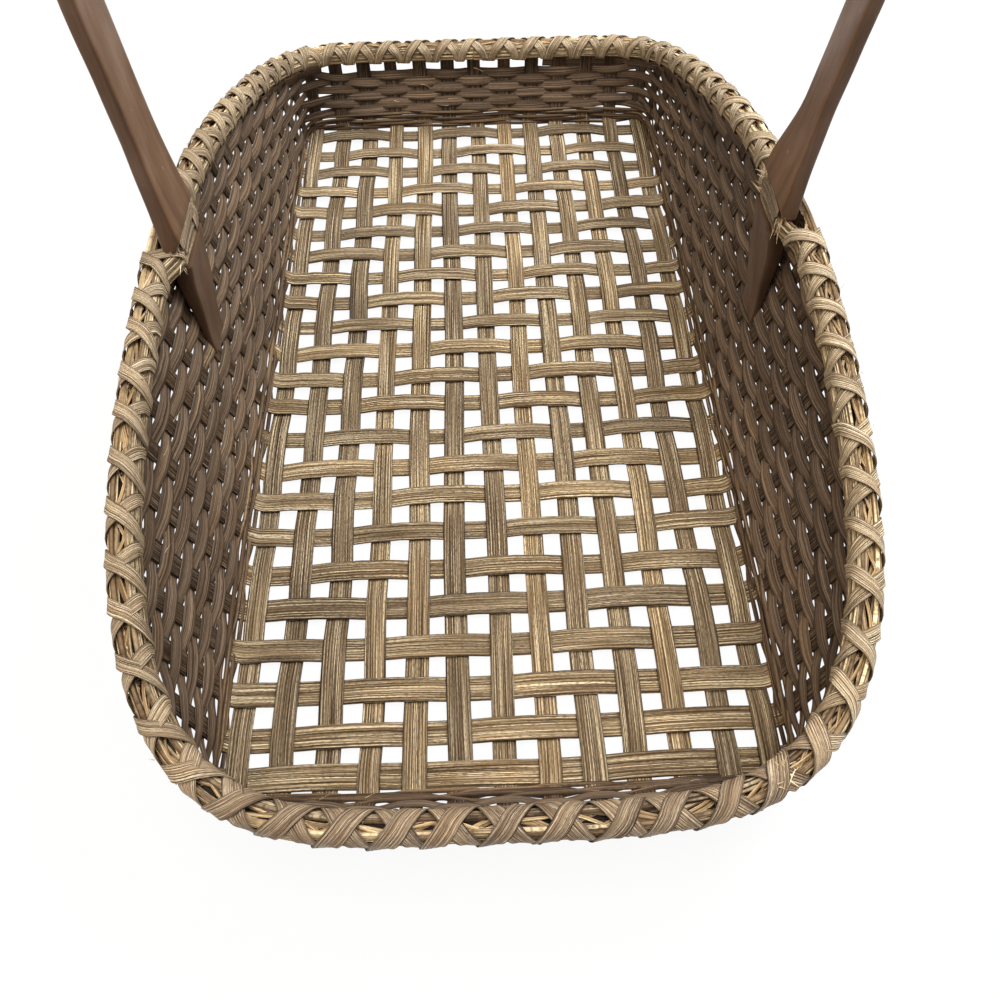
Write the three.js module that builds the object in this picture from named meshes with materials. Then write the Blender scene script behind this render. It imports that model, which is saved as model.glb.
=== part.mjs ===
import * as THREE from 'three';

// Gathering basket, hand-woven from flat reed, with a bent-wood handle across its width.
// Millimetres, +Z up. X is the width, Y the length (the far end is +Y), Z = 0 is the floor.
// The origin is on the floor under the middle of the basket.

// Overall sizes
const BASKET_LENGTH = 558.8;
const BASKET_WIDTH = 338.8;
const RIM_HEIGHT_AT_ENDS = 60;
const RIM_HEIGHT_AT_SIDES = 117;
const HANDLE_TOP = 350;

// Plan shape of the rim: a superellipse, rounder at the near end and drawn in at the far end
const RIM_RISE_POWER = 1.75;
const NEAR_LENGTH_POWER = 4.5;
const NEAR_WIDTH_POWER = 4.2;
const FAR_LENGTH_POWER = 12;
const FAR_WIDTH_POWER = 10;
const FAR_DRAW_IN = 0.19;
const FAR_DRAW_IN_POWER = 1.7;

// Flat reeds of the base, which turn up and become the stakes of the walls
const LENGTHWISE_REEDS = 13;
const CROSSWISE_REEDS = 23;
const BASE_INSET_AT_SIDES = 41.6;
const BASE_INSET_AT_ENDS = 33;
const REED_WIDTH = 11.6;
const REED_THICKNESS = 1.2;
const BASE_MARGIN = 4;
const TURN_UP_RADIUS = 3;
const WALL_BULGE = 1.25;
const WALL_KNEE = 0.45;

// Thin round rows that lock the base, and the flat weavers of the walls
const LOCK_ROWS = 3;
const LOCK_THICKNESS = 1.8;
const LOCK_PITCH = 3.15;
const WEAVER_WIDTH = 5.4;
const WEAVER_THICKNESS = 1.1;
const FULL_ROWS = 6;
const SHORT_ROWS = 3;
const WIDEST_ROW_PITCH = 10.5;

// Rim: two hoops that clamp the stakes, a filler on top between them, and crossed lashing
const HOOP_THICKNESS = 4;
const HOOP_HEIGHT = 10;
const HOOP_GROOVE_WIDTH = 4.4;
const HOOP_GROOVE_DEPTH = 3;
const FILLER_PROUD = 0.6;
const LASHING_WIDTH = 8.4;
const LASHING_THICKNESS = 1;
const LASHING_CHORD_ROOM = 1.25;

// Handle: bent wood, notched where the inner hoop passes, with legs inside the walls
const HANDLE_WIDTH = 31;
const HANDLE_THICKNESS_TOP = 7.2;
const HANDLE_THICKNESS_RIM = 8;
const HANDLE_NOTCH = 4.2;
const HANDLE_TAPER = 3.5;
const HANDLE_SPREAD_LEFT = 0.3;
const HANDLE_SPREAD_RIGHT = 8;
const HANDLE_LEAN = 0.085;
const HANDLE_LEG_LENGTH = 53;
const HANDLE_TIP_WIDTH = 12;
const HANDLE_TIP_THICKNESS = 2.5;
const HANDLE_CHAMFER = 2;
const HANDLE_ALONG = 7.5;
const HANDLE_SKEW = 4.5;
const HANDLE_ARCH_START = 229;

// Length of rim over which the inner hoop steps in on each side of the handle, and the room
// left there between the handle's edge and the ramp
const HOOP_RAMP = 20;
const HOOP_MARGIN = 2;

// Play between pieces that touch
const CLEARANCE = 0.3;

// Sizes that follow from the ones above
const STAKES = 2 * (LENGTHWISE_REEDS + CROSSWISE_REEDS);
const LAYER_STEP = REED_THICKNESS + CLEARANCE;
const HOOP_INNER = REED_THICKNESS / 2 + 2 * CLEARANCE;
const HOOP_FACE = HOOP_INNER + HOOP_THICKNESS;
const LASHING_INNER = HOOP_FACE + CLEARANCE + LASHING_THICKNESS / 2;
const LASHING_OUTER = LASHING_INNER + LASHING_CHORD_ROOM;
const LASHING_LIFT = HOOP_HEIGHT / 2 + FILLER_PROUD + CLEARANCE + LASHING_THICKNESS / 2;
const LASHING_STEP = LASHING_THICKNESS + CLEARANCE;
const LASHING_OUTER_STEP = LASHING_STEP + LASHING_CHORD_ROOM;
const RIM_REACH = LASHING_OUTER + LASHING_OUTER_STEP + LASHING_THICKNESS / 2;
const RIM_A = BASKET_WIDTH / 2 - RIM_REACH;
const RIM_B = BASKET_LENGTH / 2 - RIM_REACH;
const LENGTHWISE_PITCH = (BASKET_WIDTH - 2 * BASE_INSET_AT_SIDES) / (LENGTHWISE_REEDS - 1);
const CROSSWISE_PITCH = (BASKET_LENGTH - 2 * BASE_INSET_AT_ENDS) / (CROSSWISE_REEDS - 1);
const BASE_X = ((LENGTHWISE_REEDS - 1) / 2) * LENGTHWISE_PITCH + REED_WIDTH / 2 + BASE_MARGIN;
const BASE_Y = ((CROSSWISE_REEDS - 1) / 2) * CROSSWISE_PITCH + REED_WIDTH / 2 + BASE_MARGIN;
const FOOT_HEIGHT = REED_THICKNESS + CLEARANCE / 2;
const WALL_TOP_DROP = LASHING_LIFT + LASHING_STEP + LASHING_THICKNESS;
const LOCK_START = 2 * REED_THICKNESS + 5 * CLEARANCE + LOCK_THICKNESS / 2;
const ROWS_START = LOCK_START + (LOCK_ROWS - 1) * LOCK_PITCH + LOCK_THICKNESS / 2 + CLEARANCE;

const COLOURS = {
  reed: 0x967855,
  weaver: 0x6a5743,
  lock: 0x8a6f4e,
  hoop: 0x8c7458,
  filler: 0xbfa679,
  lashing: 0xa58a68,
  handle: 0x6d4c3a,
};

const basket = new THREE.Group();

function addPiece(name, geometry, colour, roughness) {
  const material = new THREE.MeshStandardMaterial({ color: colour, roughness, metalness: 0 });
  const mesh = new THREE.Mesh(geometry, material);
  mesh.name = name;
  basket.add(mesh);
}

const lerp = (a, b, t) => a + (b - a) * t;
const clamp01 = (t) => Math.min(1, Math.max(0, t));
const smooth = (t) => clamp01(t) ** 2 * (3 - 2 * clamp01(t));
const label = (number) => String(number).padStart(2, '0');

// Volume of a closed mesh, negative when its faces point inwards
function signedVolume(points, triangles) {
  let volume = 0;
  for (let k = 0; k < triangles.length; k += 3) {
    const [a, b, c] = [points[triangles[k]], points[triangles[k + 1]], points[triangles[k + 2]]];
    volume += a.dot(new THREE.Vector3().crossVectors(b, c)) / 6;
  }
  return volume;
}

// A solid swept through a list of cross-sections, each a loop of the same number of points
function sweep(sections, closed) {
  const sides = sections[0].length;
  const points = sections.flat();
  const triangles = [];
  const last = closed ? sections.length : sections.length - 1;
  for (let k = 0; k < last; k += 1) {
    const here = k * sides;
    const next = ((k + 1) % sections.length) * sides;
    for (let side = 0; side < sides; side += 1) {
      const other = (side + 1) % sides;
      triangles.push(here + side, here + other, next + other);
      triangles.push(here + side, next + other, next + side);
    }
  }
  if (!closed) {
    const end = (sections.length - 1) * sides;
    for (let side = 1; side < sides - 1; side += 1) {
      triangles.push(0, side + 1, side);
      triangles.push(end, end + side, end + side + 1);
    }
  }
  if (signedVolume(points, triangles) < 0) {
    for (let k = 0; k < triangles.length; k += 3) {
      [triangles[k + 1], triangles[k + 2]] = [triangles[k + 2], triangles[k + 1]];
    }
  }
  const geometry = new THREE.BufferGeometry();
  geometry.setAttribute('position', new THREE.Float32BufferAttribute(points.flatMap((p) => p.toArray()), 3));
  geometry.setIndex(triangles);
  geometry.computeVertexNormals();
  return geometry;
}

// Rectangle with its centre at p: half its width along w and half its thickness along h
function rectangle(p, w, width, h, thickness) {
  const corner = (a, b) => p.clone().addScaledVector(w, (a * width) / 2).addScaledVector(h, (b * thickness) / 2);
  return [corner(-1, -1), corner(1, -1), corner(1, 1), corner(-1, 1)];
}

// Middle line of the rim in plan, clockwise from the middle of the far end
function rimOutline() {
  const count = 4800;
  const outline = [];
  for (let k = 0; k < count; k += 1) {
    const angle = Math.PI / 2 - (2 * Math.PI * k) / count;
    const c = Math.cos(angle);
    const s = Math.sin(angle);
    const far = s > 0;
    const y = RIM_B * Math.sign(s) * Math.abs(s) ** (2 / (far ? FAR_LENGTH_POWER : NEAR_LENGTH_POWER));
    const drawn = far ? 1 - FAR_DRAW_IN * (y / RIM_B) ** FAR_DRAW_IN_POWER : 1;
    const x = RIM_A * drawn * Math.sign(c) * Math.abs(c) ** (2 / (far ? FAR_WIDTH_POWER : NEAR_WIDTH_POWER));
    outline.push(new THREE.Vector2(x, y));
  }
  return outline;
}

const OUTLINE = rimOutline();
const OUTLINE_LENGTHS = [0];
OUTLINE.forEach((p, k) => {
  OUTLINE_LENGTHS.push(OUTLINE_LENGTHS[k] + p.distanceTo(OUTLINE[(k + 1) % OUTLINE.length]));
});
const RIM_LENGTH = OUTLINE_LENGTHS[OUTLINE.length];

function outlinePoint(distance) {
  const s = ((distance % RIM_LENGTH) + RIM_LENGTH) % RIM_LENGTH;
  let low = 0;
  let high = OUTLINE.length;
  while (high - low > 1) {
    const middle = (low + high) >> 1;
    if (OUTLINE_LENGTHS[middle] <= s) low = middle;
    else high = middle;
  }
  const part = (s - OUTLINE_LENGTHS[low]) / (OUTLINE_LENGTHS[low + 1] - OUTLINE_LENGTHS[low]);
  return OUTLINE[low].clone().lerp(OUTLINE[(low + 1) % OUTLINE.length], part);
}

function rimHeight(y) {
  const part = clamp01(Math.abs(y) / RIM_B);
  return lerp(RIM_HEIGHT_AT_ENDS, RIM_HEIGHT_AT_SIDES, 1 - part ** RIM_RISE_POWER);
}

// Point, direction and outward normal of the rim at a distance along it
function rimFrame(distance) {
  const reach = 3;
  const p = outlinePoint(distance);
  const ahead = outlinePoint(distance + reach);
  const behind = outlinePoint(distance - reach);
  const along = new THREE.Vector3(ahead.x - behind.x, ahead.y - behind.y, 0).normalize();
  const out = new THREE.Vector3(-along.y, along.x, 0);
  const slope = (rimHeight(ahead.y) - rimHeight(behind.y)) / ahead.distanceTo(behind);
  const tangent = along.clone().setZ(slope).normalize();
  return { p: new THREE.Vector3(p.x, p.y, rimHeight(p.y)), along, out, tangent };
}

// Stakes are numbered clockwise: the far end, the right side, the near end, the left side
const FAR_END = LENGTHWISE_REEDS;
const RIGHT_SIDE = FAR_END + CROSSWISE_REEDS;
const NEAR_END = RIGHT_SIDE + LENGTHWISE_REEDS;
const FAR_MIDDLE = (LENGTHWISE_REEDS - 1) / 2;
const RIGHT_MIDDLE = FAR_END + (CROSSWISE_REEDS - 1) / 2;
const NEAR_MIDDLE = RIGHT_SIDE + (LENGTHWISE_REEDS - 1) / 2;
const LEFT_MIDDLE = NEAR_END + (CROSSWISE_REEDS - 1) / 2;

const rimDistance = (stake) => ((stake - FAR_MIDDLE) / STAKES) * RIM_LENGTH;

// Where a stake turns up at the edge of the base, and the direction of the edge there
function baseFoot(stake) {
  const u = ((stake % STAKES) + STAKES) % STAKES;
  if (u < FAR_END - 0.5 || u > STAKES - 0.5) {
    const x = (u > FAR_END ? u - STAKES - FAR_MIDDLE : u - FAR_MIDDLE) * LENGTHWISE_PITCH;
    return { x, y: BASE_Y, along: new THREE.Vector3(1, 0, 0) };
  }
  if (u < RIGHT_SIDE - 0.5) {
    return { x: BASE_X, y: (RIGHT_MIDDLE - u) * CROSSWISE_PITCH, along: new THREE.Vector3(0, -1, 0) };
  }
  if (u < NEAR_END - 0.5) {
    return { x: (NEAR_MIDDLE - u) * LENGTHWISE_PITCH, y: -BASE_Y, along: new THREE.Vector3(-1, 0, 0) };
  }
  return { x: -BASE_X, y: (u - LEFT_MIDDLE) * CROSSWISE_PITCH, along: new THREE.Vector3(0, 1, 0) };
}

// How far the wall has leant out towards the rim at a share of its height: straight up to the
// knee, then straight on to the rim
function wallLean(share) {
  const knee = 1 - (1 - WALL_KNEE) ** WALL_BULGE;
  const low = clamp01(share / WALL_KNEE) * knee;
  return low + clamp01((share - WALL_KNEE) / (1 - WALL_KNEE)) * (1 - knee);
}

// Middle surface of the wall: height share 0 is the edge of the base and 1 is just under the rim
function wallPoint(stake, share) {
  const foot = baseFoot(stake);
  const head = rimFrame(rimDistance(stake)).p;
  const lean = wallLean(share);
  const z = lerp(FOOT_HEIGHT, head.z - WALL_TOP_DROP, share);
  return new THREE.Vector3(lerp(foot.x, head.x, lean), lerp(foot.y, head.y, lean), z);
}

function wallFrame(stake, share) {
  const step = 0.02;
  const low = Math.max(0, share - step);
  const high = Math.min(1, share + step);
  const p = wallPoint(stake, share);
  const up = wallPoint(stake, high).sub(wallPoint(stake, low)).normalize();
  const [atFoot, atRim] = [baseFoot(stake).along, rimFrame(rimDistance(stake)).along];
  const along = atFoot.clone().lerp(atRim, wallLean(share)).normalize();
  const out = new THREE.Vector3().crossVectors(up, along).normalize();
  along.crossVectors(out, up).normalize();
  return { p, up, along, out, twist: atFoot.angleTo(atRim) };
}

const wallShare = (stake, z) => {
  const top = rimFrame(rimDistance(stake)).p.z - WALL_TOP_DROP;
  return (z - FOOT_HEIGHT) / (top - FOOT_HEIGHT);
};

// Twill of the base: a crosswise reed runs over two lengthwise reeds, then under two
const crosswiseOver = (row, column) => [0, 1].includes((column + row) % 4);

// One half of a stake: the turn-up at the edge of the base and the run up the wall into the rim
function stakeWall(stake, level) {
  const sections = [];
  const foot = baseFoot(stake);
  const edge = new THREE.Vector3(foot.x, foot.y, level);
  const outward = new THREE.Vector3(-foot.along.y, foot.along.x, 0);
  const start = edge.clone().addScaledVector(outward, -TURN_UP_RADIUS);
  const vertical = new THREE.Vector3(0, 0, 1);
  sections.push(rectangle(start, foot.along, REED_WIDTH, vertical, REED_THICKNESS));
  const diagonal = vertical.clone().sub(outward).normalize();
  const bend = edge.clone().addScaledVector(diagonal, TURN_UP_RADIUS * 0.2);
  sections.push(rectangle(bend, foot.along, REED_WIDTH, diagonal, REED_THICKNESS * 1.1));
  [wallShare(stake, LOCK_START), WALL_KNEE, 1].forEach((share) => {
    const frame = wallFrame(stake, share);
    sections.push(rectangle(frame.p, frame.along, REED_WIDTH, frame.out.clone().negate(), REED_THICKNESS));
  });
  const rim = rimFrame(rimDistance(stake));
  const top = rim.p.clone();
  top.z += HOOP_HEIGHT / 2 - HOOP_GROOVE_DEPTH;
  sections.push(rectangle(top, rim.tangent, REED_WIDTH, rim.out.clone().negate(), REED_THICKNESS));
  return sections;
}

// A whole reed: up one wall, across the base over and under the reeds it meets, up the other wall
function reed(firstStake, lastStake, crossings, isOver, place, side) {
  const level = (over) => REED_THICKNESS / 2 + (over ? LAYER_STEP : 0);
  const base = [];
  crossings.forEach((at, k) => {
    const here = isOver(k);
    const changes = (other) => other < 0 || other >= crossings.length || isOver(other) !== here;
    [-1, 1].forEach((way) => {
      if (!changes(k + way)) return;
      const p = place(at + (way * (REED_WIDTH + 2 * CLEARANCE)) / 2, level(here));
      base.push(rectangle(p, side, REED_WIDTH, new THREE.Vector3(0, 0, 1), REED_THICKNESS));
    });
  });
  const first = stakeWall(firstStake, level(isOver(0))).reverse();
  const last = stakeWall(lastStake, level(isOver(crossings.length - 1)));
  const turned = last.map((loop) => [loop[1], loop[0], loop[3], loop[2]]);
  return sweep([...first, ...base, ...turned], false);
}

function addLengthwiseStakes() {
  const rows = Array.from({ length: CROSSWISE_REEDS }, (_, k) => (RIGHT_MIDDLE - FAR_END - k) * CROSSWISE_PITCH);
  for (let column = 0; column < LENGTHWISE_REEDS; column += 1) {
    const x = (column - FAR_MIDDLE) * LENGTHWISE_PITCH;
    const place = (distance, z) => new THREE.Vector3(x, -distance, z);
    const crossings = rows.map((y) => -y);
    const over = (k) => !crosswiseOver(k + 1, column);
    const nearStake = NEAR_END - 1 - column;
    const geometry = reed(column, nearStake, crossings, over, place, new THREE.Vector3(1, 0, 0));
    addPiece(`lengthwise_stake_${label(column + 1)}`, geometry, COLOURS.reed, 0.72);
  }
}

function addCrosswiseStakes() {
  const columns = Array.from({ length: LENGTHWISE_REEDS }, (_, k) => (k - FAR_MIDDLE) * LENGTHWISE_PITCH);
  for (let row = 1; row <= CROSSWISE_REEDS; row += 1) {
    const rightStake = FAR_END + row - 1;
    const leftStake = STAKES - row;
    const y = (RIGHT_MIDDLE - rightStake) * CROSSWISE_PITCH;
    const place = (distance, z) => new THREE.Vector3(distance, y, z);
    const over = (k) => crosswiseOver(row, k);
    const geometry = reed(leftStake, rightStake, columns, over, place, new THREE.Vector3(0, 1, 0));
    addPiece(`crosswise_stake_${label(row)}`, geometry, COLOURS.reed, 0.72);
  }
}

// Turn from one stake to the next below which a row runs straight over the pair
const STRAIGHT_ENOUGH = 0.05;

// Path of a woven row: flat against each stake, crossing the wall in the gaps between stakes.
// It runs outside as many stakes as its run says, then inside as many
function wovenSections(first, last, shift, run, heightAt, width, thickness) {
  const closed = last - first === STAKES;
  const offset = REED_THICKNESS / 2 + 1.2 * CLEARANCE + thickness / 2;
  const roomForTwist = REED_WIDTH / 4;
  const roomForTurn = 3 * CLEARANCE;
  const outside = (stake) => (((stake + shift) % (2 * run)) + 2 * run) % (2 * run) < run;
  const reach = REED_WIDTH / 2 + 2 * CLEARANCE;
  const frameAt = (stake) => wallFrame(stake, wallShare(stake, heightAt(stake)));
  const sections = [];
  const lastStake = closed ? last - 1 : last;
  for (let stake = first; stake <= lastStake; stake += 1) {
    const frame = frameAt(stake);
    const way = frameAt(stake + 1).p.sub(frameAt(stake - 1).p);
    way.addScaledVector(frame.out, -way.dot(frame.out)).normalize();
    const up = new THREE.Vector3().crossVectors(way, frame.out).normalize();
    const side = outside(stake) ? 1 : -1;
    [-1, 1].forEach((end) => {
      const other = stake + end;
      const ends = !closed && (other < first || other > last);
      const turn = frame.along.angleTo(frameAt(other).along);
      if (!ends && outside(other) === outside(stake) && turn < STRAIGHT_ENOUGH) return;
      const away = side * (offset + frame.twist * roomForTwist);
      const past = end * (reach + turn * roomForTurn);
      const p = frame.p.clone().addScaledVector(frame.out, away).addScaledVector(way, past);
      sections.push(rectangle(p, up, width, frame.out, thickness));
    });
  }
  return { sections, closed };
}

function addLockRows() {
  for (let row = 0; row < LOCK_ROWS; row += 1) {
    const z = LOCK_START + row * LOCK_PITCH;
    const { sections, closed } = wovenSections(0, STAKES, 2 * row, 2, () => z, LOCK_THICKNESS, LOCK_THICKNESS);
    addPiece(`lock_row_${row + 1}`, sweep(sections, closed), COLOURS.lock, 0.8);
  }
}

const rowRoom = (stake) => rimFrame(rimDistance(stake)).p.z - WALL_TOP_DROP - ROWS_START;
const rowPitch = (stake) => Math.min(rowRoom(stake) / FULL_ROWS, WIDEST_ROW_PITCH);
const rowHeight = (row) => (stake) => ROWS_START + (row + 0.5) * rowPitch(stake);

function addWeavers() {
  for (let row = 0; row < FULL_ROWS; row += 1) {
    const { sections, closed } = wovenSections(
      0, STAKES, row, 1, rowHeight(row), WEAVER_WIDTH, WEAVER_THICKNESS);
    addPiece(`weaver_row_${label(row + 1)}`, sweep(sections, closed), COLOURS.weaver, 0.75);
  }
  for (let row = FULL_ROWS; row < FULL_ROWS + SHORT_ROWS; row += 1) {
    [['right', RIGHT_MIDDLE], ['left', LEFT_MIDDLE]].forEach(([side, middle]) => {
      const fits = (stake) => rowRoom(stake) >= (row + 1) * WIDEST_ROW_PITCH;
      let spread = 0;
      while (fits(middle + spread + 1) && fits(middle - spread - 1)) spread += 1;
      const { sections, closed } = wovenSections(
        middle - spread, middle + spread, row, 1, rowHeight(row), WEAVER_WIDTH, WEAVER_THICKNESS);
      addPiece(`${side}_short_row_${label(row + 1)}`, sweep(sections, closed), COLOURS.weaver, 0.75);
    });
  }
}

// The handle's arms: side -1 is left and +1 is right
function armFrame(side) {
  const y = HANDLE_ALONG + side * HANDLE_SKEW;
  const quarter = side > 0 ? RIGHT_MIDDLE : LEFT_MIDDLE;
  let stake = quarter;
  for (let pass = 0; pass < 20; pass += 1) {
    stake += (side * (rimFrame(rimDistance(stake)).p.y - y) * STAKES) / RIM_LENGTH;
  }
  const spread = side > 0 ? HANDLE_SPREAD_RIGHT : HANDLE_SPREAD_LEFT;
  return { side, y, stake, spread, distance: rimDistance(stake), rim: rimFrame(rimDistance(stake)) };
}

const ARMS = [armFrame(-1), armFrame(1)];
const ARM_OUTER = REED_THICKNESS / 2 + WEAVER_THICKNESS + 4 * CLEARANCE;
const ARM_INNER = ARM_OUTER + HANDLE_THICKNESS_RIM;
const NOTCH_FACE = ARM_INNER - HANDLE_NOTCH;
const HANDLE_NOTCH_TOP = RIM_HEIGHT_AT_SIDES + HOOP_HEIGHT / 2 + 2 * CLEARANCE;

// How far the handle has leant towards the far end at a height
const handleLean = (z) => HANDLE_LEAN * (z - HANDLE_NOTCH_TOP);

// Distances along the rim where a hoop needs a section: close in the corners, far on the straights
function hoopDistances() {
  const longest = 28;
  const sharpest = THREE.MathUtils.degToRad(7.5);
  const step = 2;
  const distances = [];
  let load = 1;
  for (let s = 0; s < RIM_LENGTH - step; s += step) {
    if (load >= 1) {
      distances.push(s);
      load = 0;
    }
    load += step / longest + rimFrame(s).along.angleTo(rimFrame(s + step).along) / sharpest;
  }
  const flat = HANDLE_WIDTH / 2 + HOOP_MARGIN;
  const marks = ARMS.flatMap((arm) => [-flat - HOOP_RAMP, -flat - HOOP_RAMP / 2, -flat, 0, flat, flat + HOOP_RAMP / 2,
    flat + HOOP_RAMP]
    .map((d) => ((arm.distance + d) % RIM_LENGTH + RIM_LENGTH) % RIM_LENGTH));
  const clear = distances.filter((s) => marks.every((mark) => Math.abs(mark - s) > 6)
    && ARMS.every((arm) => Math.abs(arm.distance - s) > flat));
  return [...clear, ...marks].sort((a, b) => a - b);
}

// How far the inner hoop steps inwards to pass round the handle
function hoopStep(distance) {
  const flat = HANDLE_WIDTH / 2 + HOOP_MARGIN;
  const nearest = Math.min(...ARMS.map((arm) => Math.abs(arm.distance - distance)));
  return (NOTCH_FACE + 2 * CLEARANCE - HOOP_INNER) * (1 - smooth((nearest - flat) / HOOP_RAMP));
}

// Section of a rim piece at a distance along the rim: a list of [outwards, upwards] corners
function rimSection(distance, corners) {
  const frame = rimFrame(distance);
  return corners.map(([outwards, upwards]) => {
    const p = frame.p.clone().addScaledVector(frame.out, outwards);
    p.z += upwards;
    return p;
  });
}

function addRim() {
  const half = HOOP_HEIGHT / 2;
  const lip = HOOP_GROOVE_WIDTH / 2;
  const floor = half - HOOP_GROOVE_DEPTH;
  const hoop = [[HOOP_INNER, -half], [HOOP_FACE, -half], [HOOP_FACE, half], [lip, half], [HOOP_INNER, floor]];
  const outer = hoopDistances().map((s) => rimSection(s, hoop));
  const inner = hoopDistances().map((s) => rimSection(s, hoop.map(([out, up]) => [-out - hoopStep(s), up])));
  const low = HOOP_INNER - CLEARANCE;
  const high = lip - CLEARANCE;
  const wedge = [[-low, floor + CLEARANCE], [low, floor + CLEARANCE], [high, half + FILLER_PROUD],
    [-high, half + FILLER_PROUD]];
  const filler = hoopDistances().map((s) => rimSection(s, wedge));
  addPiece('outer_rim_hoop', sweep(outer, true), COLOURS.hoop, 0.7);
  addPiece('inner_rim_hoop', sweep(inner, true), COLOURS.hoop, 0.7);
  addPiece('rim_filler', sweep(filler, true), COLOURS.filler, 0.85);
}

// One lashing reed: it passes under the hoops between two stakes and leans over the rim to the
// next gap but one; the two lashings lean opposite ways and cross on top
function lashingSections(firstGap, lastGap, direction, layer) {
  const inner = LASHING_INNER + layer * LASHING_STEP;
  const outer = LASHING_OUTER + layer * LASHING_OUTER_STEP;
  const lift = LASHING_LIFT + layer * LASHING_STEP;
  const half = LASHING_THICKNESS / 2;
  const section = (gap, across, high) => {
    const frame = rimFrame(rimDistance(gap));
    const reach = across > 0 ? outer : inner;
    const loop = [-1, 1].map((depth) => {
      const p = frame.p.clone().addScaledVector(frame.out, across * (reach + depth * half));
      p.z += high * (lift + depth * half);
      return [-1, 1].map((w) => p.clone().addScaledVector(frame.tangent, (w * LASHING_WIDTH) / 2));
    });
    return [loop[0][0], loop[0][1], loop[1][1], loop[1][0]];
  };
  const sections = [];
  for (let gap = firstGap; gap <= lastGap; gap += 2) {
    const enter = direction > 0 ? 1 : -1;
    sections.push(section(gap, enter, -1), section(gap, -enter, -1));
    if (gap + 2 > lastGap) break;
    sections.push(section(gap + 2 / 3, -enter, 1), section(gap + 4 / 3, enter, 1));
  }
  return sections;
}

function addLashings() {
  const keepOut = HANDLE_WIDTH / 2 + 2 * LASHING_WIDTH + HOOP_RAMP / 2;
  const free = (gap, arm) => {
    const away = Math.abs(rimDistance(gap) - arm.distance) % RIM_LENGTH;
    return Math.min(away, RIM_LENGTH - away) > keepOut;
  };
  [['near', ARMS[1], ARMS[0]], ['far', ARMS[0], ARMS[1]]].forEach(([end, from, to]) => {
    [['leaning_left', 0, 1], ['leaning_right', 1, -1]].forEach(([lean, layer, direction]) => {
      let gap = 2 * Math.floor(from.stake / 2) + layer + 0.5;
      const finish = to.stake > from.stake ? to.stake : to.stake + STAKES;
      const gaps = [];
      for (; gap < finish; gap += 2) if (free(gap, from) && free(gap, to)) gaps.push(gap);
      const sections = lashingSections(gaps[0], gaps[gaps.length - 1], direction, layer);
      addPiece(`${end}_lashing_${lean}`, sweep(sections, false), COLOURS.lashing, 0.65);
    });
  });
}

// Chamfered board section: x runs from inner to outer, y is half the width each way
function boardLoop(centre, across, width, thickness, chamfer) {
  const c = Math.min(chamfer, width * 0.3, thickness * 0.3);
  const w = width / 2;
  const t = thickness / 2;
  const corners = [[t, w - c], [t - c, w], [c - t, w], [-t, w - c], [-t, c - w], [c - t, -w], [t - c, -w], [t, c - w]];
  const along = new THREE.Vector3(0, 1, 0);
  return corners.map(([a, b]) => centre.clone().addScaledVector(across, a).addScaledVector(along, b));
}

// Sections of one arm from the tip of its leg up to the start of the arch
function armSections(arm) {
  const across = new THREE.Vector3(arm.side, 0, 0);
  const face = Math.abs(arm.rim.p.x);
  const loop = (z, outer, thickness, width, chamfer) => {
    const centre = new THREE.Vector3(arm.side * (outer - thickness / 2), arm.y + handleLean(z), z);
    return boardLoop(centre, across, width, thickness, chamfer);
  };
  const wallInside = (z) => {
    const frame = wallFrame(arm.stake, wallShare(arm.stake, z));
    return Math.min(face - ARM_OUTER, Math.abs(frame.p.x) - ARM_OUTER / Math.abs(frame.out.x));
  };
  const lowestRim = rimHeight(Math.abs(arm.y) + HANDLE_WIDTH / 2);
  const notchBottom = lowestRim - HOOP_HEIGHT / 2 - 2 * CLEARANCE;
  const notchTop = HANDLE_NOTCH_TOP;
  const sections = [0, 0.35, 0.75, 1].map((part) => {
    const z = notchBottom - HANDLE_LEG_LENGTH * (1 - part);
    const width = lerp(HANDLE_TIP_WIDTH, HANDLE_WIDTH, clamp01(part / 0.75));
    const thickness = lerp(HANDLE_TIP_THICKNESS, HANDLE_THICKNESS_RIM, part);
    return loop(z, wallInside(z), thickness, width, 1);
  });
  const notched = HANDLE_THICKNESS_RIM - HANDLE_NOTCH;
  sections.push(loop(notchBottom, face - ARM_OUTER, notched, HANDLE_WIDTH, 1));
  sections.push(loop(notchTop, face - ARM_OUTER, notched, HANDLE_WIDTH, 1));
  sections.push(loop(notchTop, face - ARM_OUTER, HANDLE_THICKNESS_RIM, HANDLE_WIDTH, HANDLE_CHAMFER));
  const rise = HANDLE_ARCH_START - notchTop;
  [0.33, 0.66].forEach((part) => {
    const outer = face - ARM_OUTER + arm.spread * part;
    const thickness = lerp(HANDLE_THICKNESS_RIM, HANDLE_THICKNESS_TOP, part);
    const width = HANDLE_WIDTH - HANDLE_TAPER * part;
    sections.push(loop(notchTop + rise * part, outer, thickness, width, HANDLE_CHAMFER));
  });
  return sections;
}

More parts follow.
